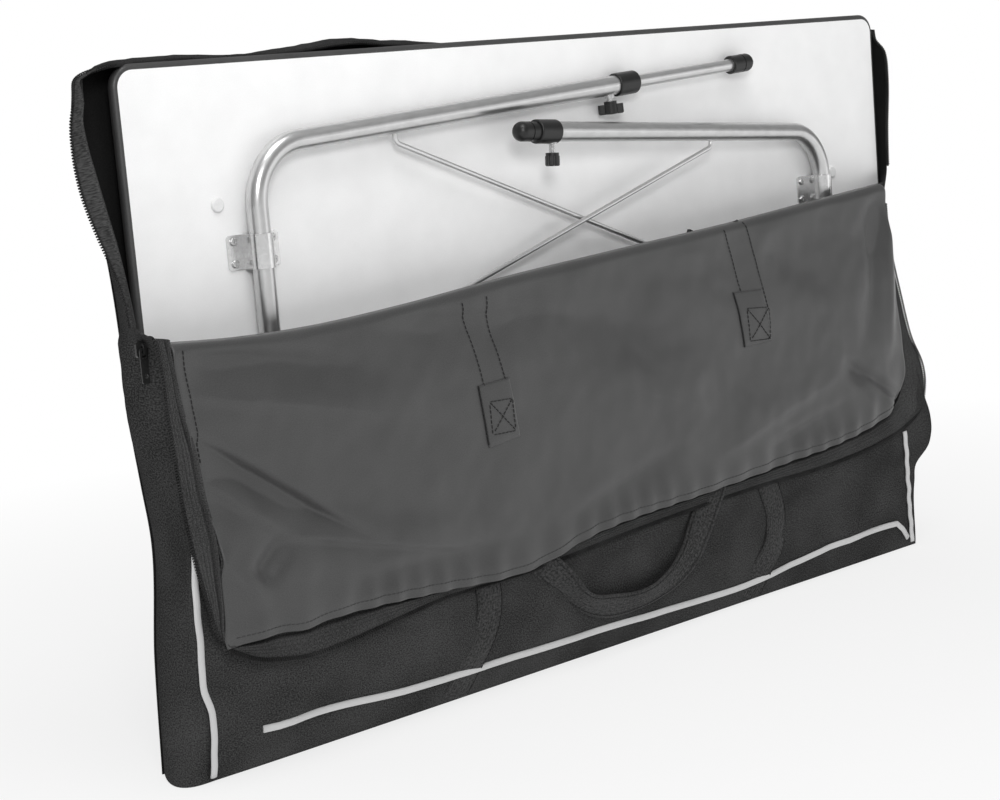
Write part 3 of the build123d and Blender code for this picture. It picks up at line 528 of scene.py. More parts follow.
def right_side():
    """The gusset's right side, from the floor up, open above the front panel."""
    z = np.linspace(FLOOR_GAP, RIGHT_TOP, 150)
    open_part = fade((z - RIGHT_SPLIT) / (RIGHT_OPEN - RIGHT_SPLIT))
    front_x = front_right_x(z) * (1 - open_part) + (right_bulge_x(z) - 0.001) * open_part
    closed_y = front_panel_y(front_right_x(z), z)
    zip_y = ZIP_Y_RIGHT + 0.018 * fade((z - 0.555) / 0.030)
    front = np.column_stack([front_x, closed_y * (1 - open_part) + zip_y * open_part, z])
    middle = np.column_stack([right_bulge_x(z), np.full_like(z, 0.004), z])
    rear = np.column_stack([right_seam_x(z), np.full_like(z, REAR_Y), z])
    return loft(front, middle, rear)


def bag_bottom():
    share = np.linspace(0, 1, 120)
    front_x = front_left_x(0) + (front_right_x(0) - front_left_x(0)) * share
    rear_x = left_seam_x(0) + (right_seam_x(0) - left_seam_x(0)) * share
    low = np.full_like(share, FLOOR_GAP)
    front = np.column_stack([front_x, front_panel_y(front_x, low), low])
    rear = np.column_stack([rear_x, np.full_like(share, REAR_Y), low])
    middle = (front + rear) / 2
    return loft(front, middle, rear)


def bag_top():
    """The rear half of the gusset across the top, rolled over behind the board's upper edge."""
    x = np.linspace(right_seam_x(RIGHT_TOP) - 0.002, left_seam_x(LEFT_TOP) - 0.002, 130)
    top = rear_top_z(x)
    corner = fade((-0.460 - x) / 0.055)
    wave = 0.0012 * np.sin(x * 37.0) + 0.0008 * np.sin(x * 91.0 + 1.0)
    front_y_top = 0.0135 + wave - 0.0255 * corner
    front = np.column_stack([x - 0.015 * corner, front_y_top, top - 0.003 + 0.003 * corner])
    middle = np.column_stack([x - 0.004 * corner, 0.019 - 0.012 * corner, top + 0.001])
    rear = np.column_stack([x, np.full_like(x, REAR_Y), top - 0.004])
    return loft(front, middle, rear)


def away_from_centre(points):
    """Unit vectors away from the bag's centre, in the plane of the board."""
    away = points - BAG_CENTRE
    away[..., 1] = 0
    return unit(away)


def build_gusset():
    """The strip round the bag: down the left, along the floor, up the right and over the top."""
    loop = np.concatenate([left_side(), bag_bottom()[1:-1], right_side(), bag_top()])
    out = ripple(loop, 0.07, 2) * 0.0018
    out += 0.0015 * ripple(loop, 0.02, 3, octaves=2)
    across = np.sin(np.linspace(0, math.pi, GUSSET_COLUMNS))[None, :]
    loop = loop + away_from_centre(loop) * (out * across)[..., None] * fade(loop[..., 2:3] / 0.02)
    return sheet("bag_gusset_skin", loop, CANVAS, inner=PAINTED_SHADE_INSIDE, closed=True)


REAR_FOLDS = (
    ((-0.45, 0.58), (-0.10, 0.42), 0.018, 0.003),
    ((0.46, 0.57), (0.15, 0.40), 0.02, 0.003),
    ((-0.40, 0.05), (0.05, 0.13), 0.02, 0.003),
    ((0.40, 0.04), (0.10, 0.14), 0.02, 0.003),
)


def build_rear_panel():
    """The bag's back, reaching a little past the gusset's seams."""
    u, v = np.meshgrid(np.linspace(0, 1, 200), np.linspace(1, 0, 120))
    side_z = v * LEFT_TOP
    left, right = left_seam_x(side_z) - 0.0025, right_seam_x(side_z) + 0.0015
    x = left + (right - left) * u
    z = FLOOR_GAP + (rear_top_z(x) - 0.0035 - FLOOR_GAP) * v
    points = np.stack([x, np.full_like(x, REAR_Y), z], axis=-1)
    inner = fade(np.minimum(np.minimum(u, 1 - u) * 1.7, np.minimum(v, 1 - v)) / 0.10)
    belly = 0.0015 * np.sin(np.pi * v) * np.sin(np.pi * u)
    wave = 0.6 * folds(x, z, REAR_FOLDS) + 0.0012 * ripple(points, 0.10, 4)
    points[..., 1] += inner * (belly + wave)
    return sheet("bag_rear_skin", points, CANVAS, inner=PAINTED_SHADE_INSIDE)


# The flap's lining: the edge is a run of (height, across) at the left and right sides.
lining_left_x = smooth([(0.125, -0.502), (0.137, -0.506), (0.153, -0.5045), (0.186, -0.504),
                        (0.22, -0.504), (0.254, -0.510), (0.287, -0.514), (0.321, -0.521),
                        (0.353, -0.525), (0.372, -0.527), (0.388, -0.527)])
lining_right_x = smooth([(0.16, 0.430), (0.175, 0.438), (0.195, 0.446), (0.229, 0.445),
                         (0.287, 0.436), (0.355, 0.430), (0.42, 0.427)])
LINING_TOP, LINING_DROP = 0.385, 0.255
RIGHT_EDGE_RISE = 0.034
LINING_GAP = 0.0100
LINING_LEAST_GAP = 0.0060
PUCKER_LENGTH = 0.034


LINING_FOLDS = (
    # folds that run down from the slider's corner and from the left binding
    ((-0.53, 0.376), (-0.30, 0.322), 0.012, -0.0085, 0.022),
    ((-0.535, 0.346), (-0.20, 0.262), 0.030, 0.0055, 0.007),
    ((-0.530, 0.311), (-0.33, 0.172), 0.005, -0.0135, 0.036),
    ((-0.515, 0.276), (-0.425, 0.200), 0.016, 0.0060, 0.006),
    ((-0.475, 0.178), (-0.430, 0.214), 0.010, -0.0065, 0.012),
    ((-0.450, 0.213), (-0.22, 0.152), 0.022, 0.0060, 0.004),
    ((-0.400, 0.156), (-0.12, 0.148), 0.008, -0.0045, 0.020),
    ((-0.38, 0.255), (-0.18, 0.190), 0.034, 0.0040, 0.015),
    ((-0.515, 0.215), (-0.46, 0.150), 0.010, 0.0040, 0.005),
    # broad waves of the middle, and the pull towards the right end
    ((-0.33, 0.371), (-0.05, 0.340), 0.008, -0.0050, 0.026),
    ((-0.12, 0.350), (0.15, 0.290), 0.020, -0.0050, 0.036),
    ((-0.10, 0.290), (0.14, 0.215), 0.036, 0.0050, 0.012),
    ((-0.12, 0.148), (0.10, 0.200), 0.010, -0.0050, 0.022),
    ((0.18, 0.158), (0.36, 0.195), 0.008, -0.0055, 0.020),
    ((0.10, 0.172), (0.34, 0.230), 0.026, 0.0040, 0.008),
    ((0.20, 0.380), (0.36, 0.300), 0.020, -0.0040),
    ((0.415, 0.425), (0.375, 0.235), 0.014, -0.0075),
    ((0.432, 0.405), (0.415, 0.215), 0.009, 0.0045),
    ((0.32, 0.240), (0.44, 0.175), 0.006, -0.0065, 0.014),
    ((0.36, 0.215), (0.43, 0.165), 0.007, 0.0040),
)


def lining_relief(x, z):
    """How far the lining stands out from its flat, with the folds its weight draws in it."""
    inside = fade((x + 0.52) / 0.05) * fade((0.45 - x) / 0.05)
    out = 0.0065 * inside * fade((0.375 - z) / 0.07)
    return out + folds(x, z, LINING_FOLDS)


def lining_edges(v):
    """Where the lining's left and right edges are across, at a share v down it."""
    edge_z = LINING_TOP - LINING_DROP * v
    return lining_left_x(edge_z), lining_right_x(edge_z + RIGHT_EDGE_RISE)


def lining_surface(u, v):
    """Points of the lining: u across from the left, v down from the fold to the hem."""
    left, right = lining_edges(v)
    x = left + (right - left) * u
    z = fold_z(x) * (1 - v) + hem_z(x) * v
    z = z + 0.012 * np.exp(-(((1 - u) / 0.02) ** 2)) * fade((v - 0.8) / 0.2)
    roll = np.sqrt(np.clip(1 - (1 - np.clip(v / 0.035, 0, 1)) ** 2, 0, 1))
    out = LINING_GAP * roll + lining_relief(x, z) * fade(v / 0.10)
    out = out + 0.0028 * ripple(np.stack([x, z * 0, z], axis=-1), 0.085, 5) * fade(v / 0.08)
    pucker = np.sin(x * 2 * math.pi / PUCKER_LENGTH + 2.2 * np.sin(x * 21.0))
    pucker = pucker * np.exp(-(((1 - v) / 0.10) ** 2))
    out = out + 0.0014 * pucker - 0.0020 * np.exp(-(((1 - v) / 0.03) ** 2))
    out = np.maximum(out, LINING_LEAST_GAP * roll)
    return np.stack([x, front_y(x) - out, z], axis=-1)


def build_lining():
    """The flap's grey lining, with closer rows where it rolls over the fold."""
    rows = np.concatenate([np.linspace(0, 0.05, 10), np.linspace(0.06, 1, 130)])
    u, v = np.meshgrid(np.linspace(0, 1, 420), rows)
    return sheet("flap_lining_skin", lining_surface(u, v), LINING, thickness=0.8 * MM)


def build_canvas_side():
    """The flap's outer canvas, behind the lining; its rim turns back behind the zip's tape."""
    u, v = np.meshgrid(np.linspace(0, 1.006, 170), np.linspace(0.02, 1.012, 76))
    points = lining_surface(u, v)
    flat = front_y(points[..., 0])
    depth = np.minimum(points[..., 1] + 0.0036, flat - 0.0024)
    turn = np.maximum(fade((u - 0.985) / 0.015), fade((v - 0.97) / 0.03))
    points[..., 1] = depth * (1 - turn) + (flat - 0.0006) * turn
    return sheet("flap_canvas_skin", points, CANVAS)


# The flap's zip side: lining edge (x, z) and zip coil (x, depth out from the front, z) at matching
# places, from the slider down the left side, along the hem and up the right side.
FLAP_RIM = (
    ((-0.5265, 0.3855), (-0.530, -0.026, 0.3855)),
    ((-0.527, 0.383), (-0.535, -0.006, 0.386)), ((-0.527, 0.370), (-0.5315, -0.006, 0.374)),
    ((-0.525, 0.353), (-0.5295, -0.006, 0.355)), ((-0.524, 0.337), (-0.529, -0.006, 0.337)),
    ((-0.521, 0.321), (-0.529, -0.006, 0.322)), ((-0.517, 0.304), (-0.528, -0.006, 0.305)),
    ((-0.514, 0.287), (-0.527, -0.006, 0.288)), ((-0.510, 0.254), (-0.525, -0.006, 0.255)),
    ((-0.504, 0.220), (-0.521, -0.006, 0.222)), ((-0.504, 0.186), (-0.516, -0.004, 0.187)),
    ((-0.5045, 0.160), (-0.5135, 0.000, 0.163)), ((-0.506, 0.140), (-0.510, 0.003, 0.142)),
    ((-0.501, 0.129), (-0.499, 0.004, 0.126)), ((-0.488, 0.129), (-0.485, 0.004, 0.117)),
    ((-0.470, 0.129), (-0.470, 0.004, 0.110)), ((-0.450, 0.1295), (-0.450, 0.004, 0.105)),
    ((-0.420, 0.128), (-0.418, 0.004, 0.100)), ((-0.395, 0.129), (-0.390, 0.004, 0.1005)),
    ((-0.343, 0.127), (-0.335, 0.004, 0.1055)), ((-0.272, 0.122), (-0.265, 0.004, 0.1125)),
    ((-0.200, 0.1175), (-0.200, 0.004, 0.1130)), ((-0.151, 0.1175), (-0.151, 0.004, 0.1130)),
    ((-0.072, 0.131), (-0.072, 0.004, 0.117)), ((0.049, 0.137), (0.049, 0.004, 0.1225)),
    ((0.181, 0.141), (0.181, 0.004, 0.1255)), ((0.319, 0.149), (0.319, 0.004, 0.1255)),
    ((0.395, 0.159), (0.405, 0.004, 0.1325)), ((0.425, 0.169), (0.455, 0.001, 0.141)),
    ((0.437, 0.180), (0.490, -0.002, 0.157)), ((0.4455, 0.200), (0.500, -0.003, 0.180)),
    ((0.4450, 0.229), (0.497, -0.003, 0.205)), ((0.441, 0.260), (0.476, -0.002, 0.240)),
    ((0.436, 0.290), (0.459, -0.001, 0.290)), ((0.431, 0.353), (0.442, 0.000, 0.352)),
    ((0.428, 0.408), (0.438, 0.000, 0.410)),
)
RIM_ROWS = 420
ZIP_ROWS = 420


def rim_paths():
    """The lining's edge and the coil's path around the flap, row by row."""
    rim = np.array([(*edge, *out) for edge, out in FLAP_RIM])
    rows = path_through(rim, RIM_ROWS)
    edge_x, edge_z, outer_x, outer_depth, outer_z = rows.T
    stand = (LINING_GAP - 0.001) * (1 - 0.35 * fade((edge_z - 0.36) / 0.03))
    edge = np.column_stack([edge_x, front_y(edge_x) - stand, edge_z])
    outer = np.column_stack([outer_x, front_y(outer_x) - outer_depth, outer_z])
    return edge, outer


# The tape's section from the lining to the coil: (share of the way, depth back). It drops into a
# groove beside the lining and has three sewn lines.
TAPE_SECTION = np.array((
    (0.0, 0.0), (0.05, 0.0042), (0.14, 0.0060), (0.22, 0.0040), (0.27, 0.0008), (0.35, 0.0006),
    (0.38, 0.0019), (0.42, 0.0006), (0.52, 0.0004), (0.55, 0.0017), (0.59, 0.0003), (0.68, 0.0001),
    (0.71, 0.0013), (0.75, 0.0001), (0.88, 0.0), (1.0, 0.0008),
))


def build_flap_side():
    """The tape between lining and coil."""
    edge, outer = rim_paths()
    share, back = TAPE_SECTION.T
    points = edge[:, None] * (1 - share)[None, :, None] + outer[:, None] * share[None, :, None]
    points[..., 1] += back
    wave = ripple(points, 0.035, 6) * 0.0012
    points[..., 1] -= wave * np.sin(np.pi * share)
    return sheet("flap_zip_tape", points, TAPE, thickness=1.0 * MM, smooth_level=1)


def build_flap_coil():
    outer = rim_paths()[1] + 0.0012 * OUTWARD
    return mesh_piece("flap_zip_coil", [coil(outer[2:-4])], COIL)


def rear_zip_edges():
    """The fold at the gusset's front edge and the zip's coil beyond it, as two paths that run up
    the left, over the top and down the right."""
    left = left_side()[:, 0][::-1]
    left = left[left[:, 2] > LEFT_SPLIT + 0.016]
    z = left[:, 2]
    left_coil = np.column_stack([left_zip_x(z), ZIP_Y_LEFT + 0.018 * left_top_turn(z), z])
    top = bag_top()[::-1, 0][1:-1]
    right = right_side()[:, 0][::-1]
    right = right[right[:, 2] > RIGHT_OPEN]
    rest = np.concatenate([top, right])
    rest_coil = rest + 0.0025 * OUTWARD - 0.001 * away_from_centre(rest)
    fold = np.concatenate([left, rest])[::3]
    zip_line = np.concatenate([left_coil, rest_coil])[::3]
    return path_through(fold, ZIP_ROWS), path_through(zip_line, ZIP_ROWS)


def build_rear_zip():
    """The zip's other half, on the gusset: its tape and its coil."""
    fold, zip_line = rear_zip_edges()
    share = np.linspace(0, 1, 9)[None, :, None]
    points = fold[:, None] * (1 - share) + zip_line[:, None] * share
    points[..., 1] -= 0.0022 * np.sin(np.pi * share[..., 0] ** 0.6)
    tape = sheet("rear_zip_tape", points, TAPE, thickness=0.9 * MM)
    teeth = mesh_piece("rear_zip_coil", [coil(zip_line)], COIL)
    return tape, teeth


def build_binding_stitch():
    """Thread down the lining's left binding, as far as the binding turns under."""
    v = np.linspace(0.02, 0.40, 90)
    inset = 0.0095 * (1 - 0.6 * fade((v - 0.2) / 0.2))
    points = lining_surface(inset, v) + 0.0007 * OUTWARD
    return mesh_piece("lining_stitching", stitches(points), THREAD)


def build_hem_stitch():
    """Thread along the lining's hem, a little uneven."""
    u = np.linspace(0.01, 0.985, 500)
    points = lining_surface(u, 0.972 + 0.004 * np.sin(u * 23.0)) + 0.0003 * OUTWARD
    return mesh_piece("hem_stitching", stitches(points), HEM_THREAD)


# The webbing's stitching on the lining, as (across, up): two lines, a crossed box and a patch.
# Corners go round from the top left.
STRAP_SEWING = (
    {"lines": ([(-0.217, 0.374), (-0.210, 0.340), (-0.204, 0.302), (-0.200, 0.281)],
               [(-0.186, 0.376), (-0.184, 0.350), (-0.179, 0.310), (-0.172, 0.280)]),
     "box": [(-0.200, 0.281), (-0.172, 0.280), (-0.171, 0.250), (-0.200, 0.251)],
     "patch": [(-0.210, 0.297), (-0.172, 0.299), (-0.166, 0.244), (-0.205, 0.240)]},
    {"lines": ([(0.150, 0.398), (0.160, 0.367), (0.166, 0.335), (0.169, 0.315)],
               [(0.183, 0.402), (0.192, 0.372), (0.199, 0.340), (0.203, 0.312)]),
     "box": [(0.169, 0.315), (0.203, 0.312), (0.203, 0.279), (0.171, 0.281)],
     "patch": [(0.155, 0.333), (0.198, 0.331), (0.206, 0.277), (0.163, 0.276)]},
)


THREAD_LIFT, PATCH_LIFT = 0.0008, 0.0019


def on_lining(x, z, lift=THREAD_LIFT):
    """A point on the lining's outer face at a place across and up."""
    v = (fold_z(x) - z) / (fold_z(x) - hem_z(x))
    left, right = lining_edges(v)
    points = lining_surface((x - left) / (right - left), v)
    points[..., 1] -= lift
    return points


def line_on_lining(points, lift=THREAD_LIFT, count=80):
    x, z = path_through(points, count).T
    return on_lining(x, z, lift)


def straight(start, end):
    """A straight run with a point half way, for path_through."""
    return [start, ((start[0] + end[0]) / 2, (start[1] + end[1]) / 2), end]


def build_lining_patches():
    """The square patches sewn over the webbing's ends."""
    pieces = []
    for number, strap in enumerate(STRAP_SEWING, 1):
        top_left, top_right, low_right, low_left = (np.array(c) for c in strap["patch"])
        u, v = np.meshgrid(np.linspace(0, 1, 24), np.linspace(0, 1, 28))
        u, v = u[..., None], v[..., None]
        flat = (top_left * (1 - u) + top_right * u) * (1 - v)
        flat += (low_left * (1 - u) + low_right * u) * v
        points = on_lining(flat[..., 0], flat[..., 1])
        border = np.minimum(np.minimum(u, 1 - u), np.minimum(v, 1 - v))[..., 0]
        points[..., 1] -= 0.0005 * fade(border / 0.10)
        pieces.append(sheet(f"lining_patch_{number}", points, LINING, thickness=0.8 * MM))
    return pieces


def build_lining_strap_stitch():
    """The webbing's two seams, the crossed boxes on the patches, and a thick dark line of thread
    down each patch's left edge as its painted shadow.
    """
    parts = []
    for strap in STRAP_SEWING:
        for run in strap["lines"]:
            parts += stitches(line_on_lining(run))
        box, patch = strap["box"], strap["patch"]
        sides = [(box[k], box[(k + 1) % 4]) for k in range(4)]
        for start, end in sides + [(box[0], box[2]), (box[1], box[3])]:
            parts += stitches(line_on_lining(straight(start, end), PATCH_LIFT, 20))
        # Painted shadow: a thick, nearly unbroken dark thread line down the patch's left edge.
        patch_left_shadow = line_on_lining(straight(patch[0], patch[3]), count=20)
        parts += stitches(patch_left_shadow, gap=0.2 * MM, radius=0.8 * MM)
    return mesh_piece("lining_strap_stitching", parts, THREAD)


# Piping runs on the front panel: (across, up) points.
PIPING_RUNS = (
    [(-0.5165, 0.208), (-0.5185, 0.171), (-0.5155, 0.128), (-0.5115, 0.091), (-0.5025, 0.066),
     (-0.498, 0.035), (-0.4955, 0.006)],
    [(-0.456, 0.041), (-0.376, 0.037), (-0.249, 0.031), (-0.162, 0.029), (-0.064, 0.027),
     (0.005, 0.0255), (0.100, 0.022), (0.155, 0.021), (0.204, 0.023), (0.255, 0.028),
     (0.317, 0.034), (0.380, 0.0345), (0.417, 0.034), (0.430, 0.033), (0.440, 0.026),
     (0.452, 0.012)],
    [(0.450, 0.136), (0.452, 0.110), (0.4525, 0.079), (0.455, 0.044), (0.4585, 0.022),
     (0.461, 0.006)],
)


def on_front(points, count, lift):
    """A path on the front panel through (across, up) points, lifted off the canvas."""
    x, z = path_through(points, count).T
    return to_front(x, z) + lift * OUTWARD


def build_piping():
    parts = []
    for number, run in enumerate(PIPING_RUNS):
        path = on_front(run, 60 if number else 40, 2.6 * MM)
        path[:, 1] -= 0.0004 * np.sin(np.linspace(0, 40, len(path)))
        parts.append(tube(path, (3.3 * MM, 1.6 * MM), sides=12))
    return mesh_piece("piping_strips", parts, PIPING)


# The webbing on the front panel: (across, up) points from the top down.
FRONT_STRAP_RUNS = (
    [(-0.196, 0.375), (-0.200, 0.20), (-0.207, 0.125), (-0.205, 0.100), (-0.208, 0.072),
     (-0.222, 0.038), (-0.230, 0.004)],
    [(0.160, 0.395), (0.180, 0.20), (0.203, 0.125), (0.215, 0.090), (0.213, 0.065), (0.192, 0.030),
     (0.180, 0.004)],
)
FRONT_STRAP_WIDTH, STRAP_WIDTH, HANDLE_WIDTH = 0.031, 0.030, 0.029
STRAP_THICKNESS, HANDLE_THICKNESS = 1.3 * MM, 1.6 * MM


def front_normals(path):
    return np.tile(np.array([TURN, -1.0, 0.0]) / math.hypot(TURN, 1.0), (len(path), 1))


def build_front_straps():
    """Two webbing straps down the front panel, with the thread along their edges."""
    parts = []
    pieces = []
    for number, run in enumerate(FRONT_STRAP_RUNS, 1):
        path = on_front(run, 120, 1.4 * MM)
        points = ribbon(path, front_normals(path), FRONT_STRAP_WIDTH)
        points[..., 2] = np.maximum(points[..., 2], 2 * FLOOR_GAP)
        pieces.append(sheet(f"front_strap_{number}", points, WEBBING, STRAP_THICKNESS))
        for column in (0, 8):
            line = points[:, column] + front_normals(path) * 0.0008
            parts += stitches(line)
    pieces.append(mesh_piece("front_strap_stitching", parts, THREAD))
    return pieces


def build_flap_straps():
    """The same webbing on the flap's outer face, up to the handle's anchors."""
    pieces = []
    for number, strap in enumerate(STRAP_SEWING, 1):
        run = [((a[0] + b[0]) / 2, (a[1] + b[1]) / 2) for a, b in zip(*strap["lines"])]
        run.append(tuple(np.mean(strap["box"][2:], axis=0)))
        path = line_on_lining(run, 0.0, 60)
        path[:, 1] = np.minimum(path[:, 1] + 0.0065, front_y(path[:, 0]) - 0.0010)
        points = ribbon(path, -front_normals(path), STRAP_WIDTH)
        pieces.append(sheet(f"flap_strap_{number}", points, WEBBING, STRAP_THICKNESS))
    return pieces


# The front handle's loop: (across, depth from the front panel, up).
FRONT_HANDLE_RUN = (
    (-0.190, -0.0010, 0.262), (-0.188, -0.0016, 0.215), (-0.168, -0.0020, 0.165),
    (-0.140, -0.0030, 0.120), (-0.112, -0.0060, 0.090), (-0.084, -0.0085, 0.066),
    (-0.045, -0.0090, 0.052), (0.005, -0.0085, 0.050), (0.050, -0.0080, 0.066),
    (0.080, -0.0070, 0.094), (0.104, -0.0050, 0.126), (0.132, -0.0030, 0.165),
    (0.166, -0.0016, 0.215), (0.176, -0.0010, 0.282),
)


# The loop's twists: (share along it, spread, turn in radians).
HANDLE_TWISTS = ((0.34, 0.07, 1.10), (0.70, 0.08, -0.35), (0.5, 0.09, 0.60))


def build_front_handle():
    """A loop of webbing from the anchors behind the flap, which twists as it sags."""
    rows = path_through(FRONT_HANDLE_RUN, 260)
    path = to_front(rows[:, 0], rows[:, 2])
    path[:, 1] += rows[:, 1] - 0.0012
    normals = front_normals(path)
    share = np.linspace(0, 1, len(path))
    twist = sum(turn * np.exp(-((share - middle) / spread) ** 2)
                for middle, spread, turn in HANDLE_TWISTS)
    side = unit(np.cross(np.gradient(path, axis=0), normals))
    normals = normals * np.cos(twist)[:, None] + side * np.sin(twist)[:, None]
    points = ribbon(path, normals, HANDLE_WIDTH)
    loop = sheet("front_handle_loop", points, WEBBING, HANDLE_THICKNESS)
    parts = []
    for column in (1, 7):
        parts += stitches(points[:, column] + normals * 0.0012)
    return loop, mesh_piece("front_handle_stitching", parts, THREAD)


def rear_point(x, z):
    """The depth just behind the rear panel's sag, at a place across and up."""
    u = (x + 0.51) / 1.02
    v = z / 0.60
    return REAR_Y + 0.0022 * np.sin(np.pi * v) * np.sin(np.pi * u)


REAR_STRAPS_X = (-0.196, 0.160)


def build_rear_webbing():
    """Two straps down the bag's back."""
    pieces = []
    for number, x in enumerate(REAR_STRAPS_X, 1):
        z = np.linspace(0.515, 0.045, 90)
        path = np.column_stack([x + 0.002 * np.sin(z * 14), rear_point(x, z) + 0.0038, z])
        points = ribbon(path, np.tile(REARWARD, (len(path), 1)), STRAP_WIDTH)
        pieces.append(sheet(f"rear_strap_{number}", points, WEBBING, STRAP_THICKNESS))
    return pieces


# The rear handle's loop: (across, depth behind the rear panel, up).
REAR_HANDLE_RUN = (
    (-0.196, 0.0062, 0.515), (-0.195, 0.0064, 0.470), (-0.180, 0.0066, 0.420),
    (-0.130, 0.0066, 0.365), (-0.060, 0.0064, 0.345), (0.020, 0.0064, 0.347),
    (0.095, 0.0066, 0.368), (0.145, 0.0066, 0.422), (0.159, 0.0064, 0.470), (0.160, 0.0062, 0.515),
)


def build_rear_handle():
    """A loop of webbing that hangs flat against the bag's back."""
    x, out, z = path_through(REAR_HANDLE_RUN, 220).T
    path = np.column_stack([x, rear_point(x, z) + out, z])
    points = ribbon(path, np.tile(REARWARD, (len(path), 1)), HANDLE_WIDTH)
    return sheet("rear_handle_loop", points, WEBBING, HANDLE_THICKNESS)


# ---------------------------------------------------------------- put it together


def place(piece, body, slot, replaces=(), slumps=False):
    """Names a piece's body and the CAD nodes it stands for; its slot is not used."""
    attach(piece, body)
    if replaces:
        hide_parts(*replaces)
    if slumps:
        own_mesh(piece)


def place_all(pieces, body, slot, node, slumps=False):
    """Places several pieces, the first of which stands for the CAD node."""
    for number, piece in enumerate(pieces):
        place(piece, body, slot, () if number else [node], slumps)


def build_bag():
    place(build_front_panel(), "bag", "canvas_black", ["bag_front_panel"], slumps=True)
    place(build_gusset(), "bag", "canvas_black", ["bag_gusset"])
    place(build_rear_panel(), "bag", "canvas_black", ["bag_rear_panel"])
    place_all(build_rear_zip(), "bag", "zip_tape", "zip_tape_rear")
    place(build_piping(), "bag", "piping_grey", ["piping"], slumps=True)
    place_all(build_front_straps(), "bag", "webbing_black", "front_straps", slumps=True)
    place_all(build_rear_webbing(), "bag", "webbing_black", "rear_straps")
    place(build_rear_handle(), "rear_handle", "webbing_black", ["rear_handle"])


def build_flap():
    place(build_lining(), "flap", "lining_grey", ["flap_lining"], slumps=True)
    place(build_canvas_side(), "flap", "canvas_black", ["flap_canvas"], slumps=True)
    place(build_flap_side(), "flap", "zip_tape", ["zip_tape_flap"], slumps=True)
    place(build_flap_coil(), "flap", "zip_tape", slumps=True)
    place(build_binding_stitch(), "flap", "lining_grey", slumps=True)
    place(build_hem_stitch(), "flap", "lining_grey", slumps=True)
    for piece in build_lining_patches():
        place(piece, "flap", "lining_grey", slumps=True)
    place(build_lining_strap_stitch(), "flap", "lining_grey", slumps=True)
    place_all(build_flap_straps(), "flap", "webbing_black", "flap_straps", slumps=True)
    place_all(build_front_handle(), "front_handle", "webbing_black", "front_handle", slumps=True)


# ---------------------------------------------------------------- floor, light and camera

FLOOR_HALF = 40.0
FADE_START, FADE_END = 0.4, 1.4
PLAIN_WHITE_NEAR = 0.75


def build_floor():
    """A white floor: real light and shadow near the bag, fading to plain white further out."""
    mesh = bpy.data.meshes.new("floor")
    corners = [(x * FLOOR_HALF, y * FLOOR_HALF, 0) for x, y in ((-1, -1), (1, -1), (1, 1), (-1, 1))]
    mesh.from_pydata(corners, [], [(0, 1, 2, 3)])
    material, tree, bsdf = new_material("floor")
    feed(tree, bsdf, {"Base Color": (0.93, 0.93, 0.93, 1), "Roughness": 0.9,
                      "Specular IOR Level": 0.1})
    place = add(tree, "ShaderNodeTexCoord").outputs["Object"]
    far = add(tree, "ShaderNodeVectorMath", {0: place}, operation="LENGTH").outputs["Value"]
    reach = {"Value": far, "From Min": FADE_START, "From Max": FADE_END, "To Min": PLAIN_WHITE_NEAR}
    share = add(tree, "ShaderNodeMapRange", reach).outputs["Result"]
    white = add(tree, "ShaderNodeEmission", {"Color": (1, 1, 1, 1), "Strength": 1.0})
    mix = add(tree, "ShaderNodeMixShader", {0: share, 1: bsdf.outputs[0], 2: white.outputs[0]})
    feed(tree, tree.nodes["Material Output"], {"Surface": mix.outputs[0]})
    mesh.materials.append(material)
    link("floor", mesh)


def area_light(name, place_at, aim, size, power):
    """A square soft light of a size in metres and a power in watts, aimed at a point."""
    light = bpy.data.lights.new(name, "AREA")
    light.size = size
    light.energy = power
    lamp = link(name, light)
    lamp.location = place_at
    lamp.rotation_mode = "QUATERNION"
    lamp.rotation_quaternion = (Vector(aim) - Vector(place_at)).to_track_quat("-Z", "Y")


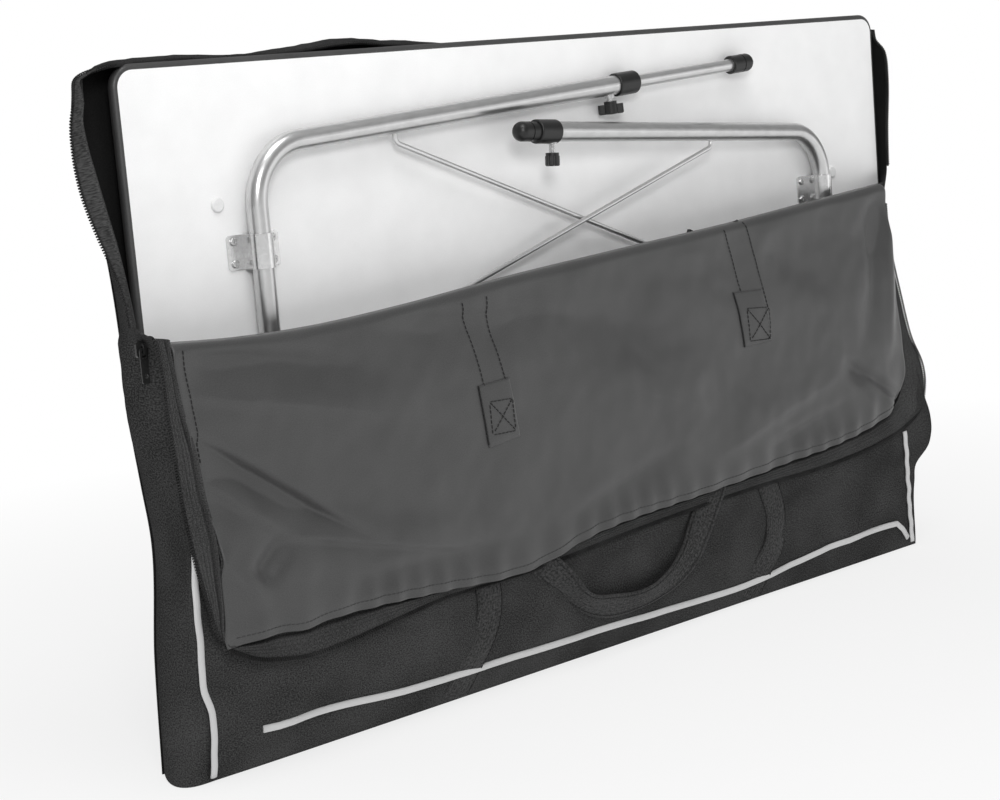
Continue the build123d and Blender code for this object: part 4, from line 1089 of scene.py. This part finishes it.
def build_world():
    """White for the camera; for light a bright top that greys towards the floor."""
    world = bpy.data.worlds.new("studio")
    bpy.context.scene.world = world
    world.use_nodes = True
    tree = world.node_tree
    tree.nodes.clear()
    rays = add(tree, "ShaderNodeLightPath")
    direction = add(tree, "ShaderNodeTexCoord").outputs["Generated"]
    up = add(tree, "ShaderNodeSeparateXYZ", {0: direction}).outputs["Z"]
    ramp = add(tree, "ShaderNodeMapRange", {"Value": up, "From Min": -0.1, "From Max": 0.7,
                                            "To Min": 0.08, "To Max": 0.42})
    colour = (1, 1, 1, 1)
    soft = add(tree, "ShaderNodeBackground", {"Color": colour, "Strength": ramp.outputs["Result"]})
    white = add(tree, "ShaderNodeBackground", {"Color": colour, "Strength": 1.0})
    mix = add(tree, "ShaderNodeMixShader", {0: rays.outputs["Is Camera Ray"], 1: soft.outputs[0],
                                            2: white.outputs[0]})
    add(tree, "ShaderNodeOutputWorld", {"Surface": mix.outputs[0]})


CAMERA_PLACE = (-1.40183, -1.45157, 0.5675)
CAMERA_RIGHT = Vector((0.73550, -0.67255, -0.08197))
CAMERA_UP = Vector((0.16481, 0.06025, 0.98448))


def build_camera():
    """A camera at the table's lower left, a little above it and rolled slightly."""
    data = bpy.data.cameras.new("camera")
    data.lens = 73.8
    data.sensor_width = 36.0
    camera = link("camera", data)
    back = CAMERA_RIGHT.cross(CAMERA_UP)
    turn = Matrix((CAMERA_RIGHT, CAMERA_UP, back)).transposed().to_4x4()
    camera.matrix_world = Matrix.Translation(CAMERA_PLACE) @ turn
    bpy.context.scene.camera = camera


def build_studio():
    bpy.context.scene.view_settings.view_transform = "Standard"
    build_floor()
    build_world()
    area_light("key", (-1.5, -1.9, 1.35), (-0.1, 0.0, 0.35), 0.6, 20)
    area_light("sheen", (1.9, -2.0, 0.75), (0.1, 0.0, 0.3), 1.2, 4)
    area_light("top", (-0.5, -0.8, 2.2), (0.0, -0.05, 0.3), 0.9, 13)
    build_camera()


dress_cad_nodes()
build_bag()
build_flap()
build_studio()
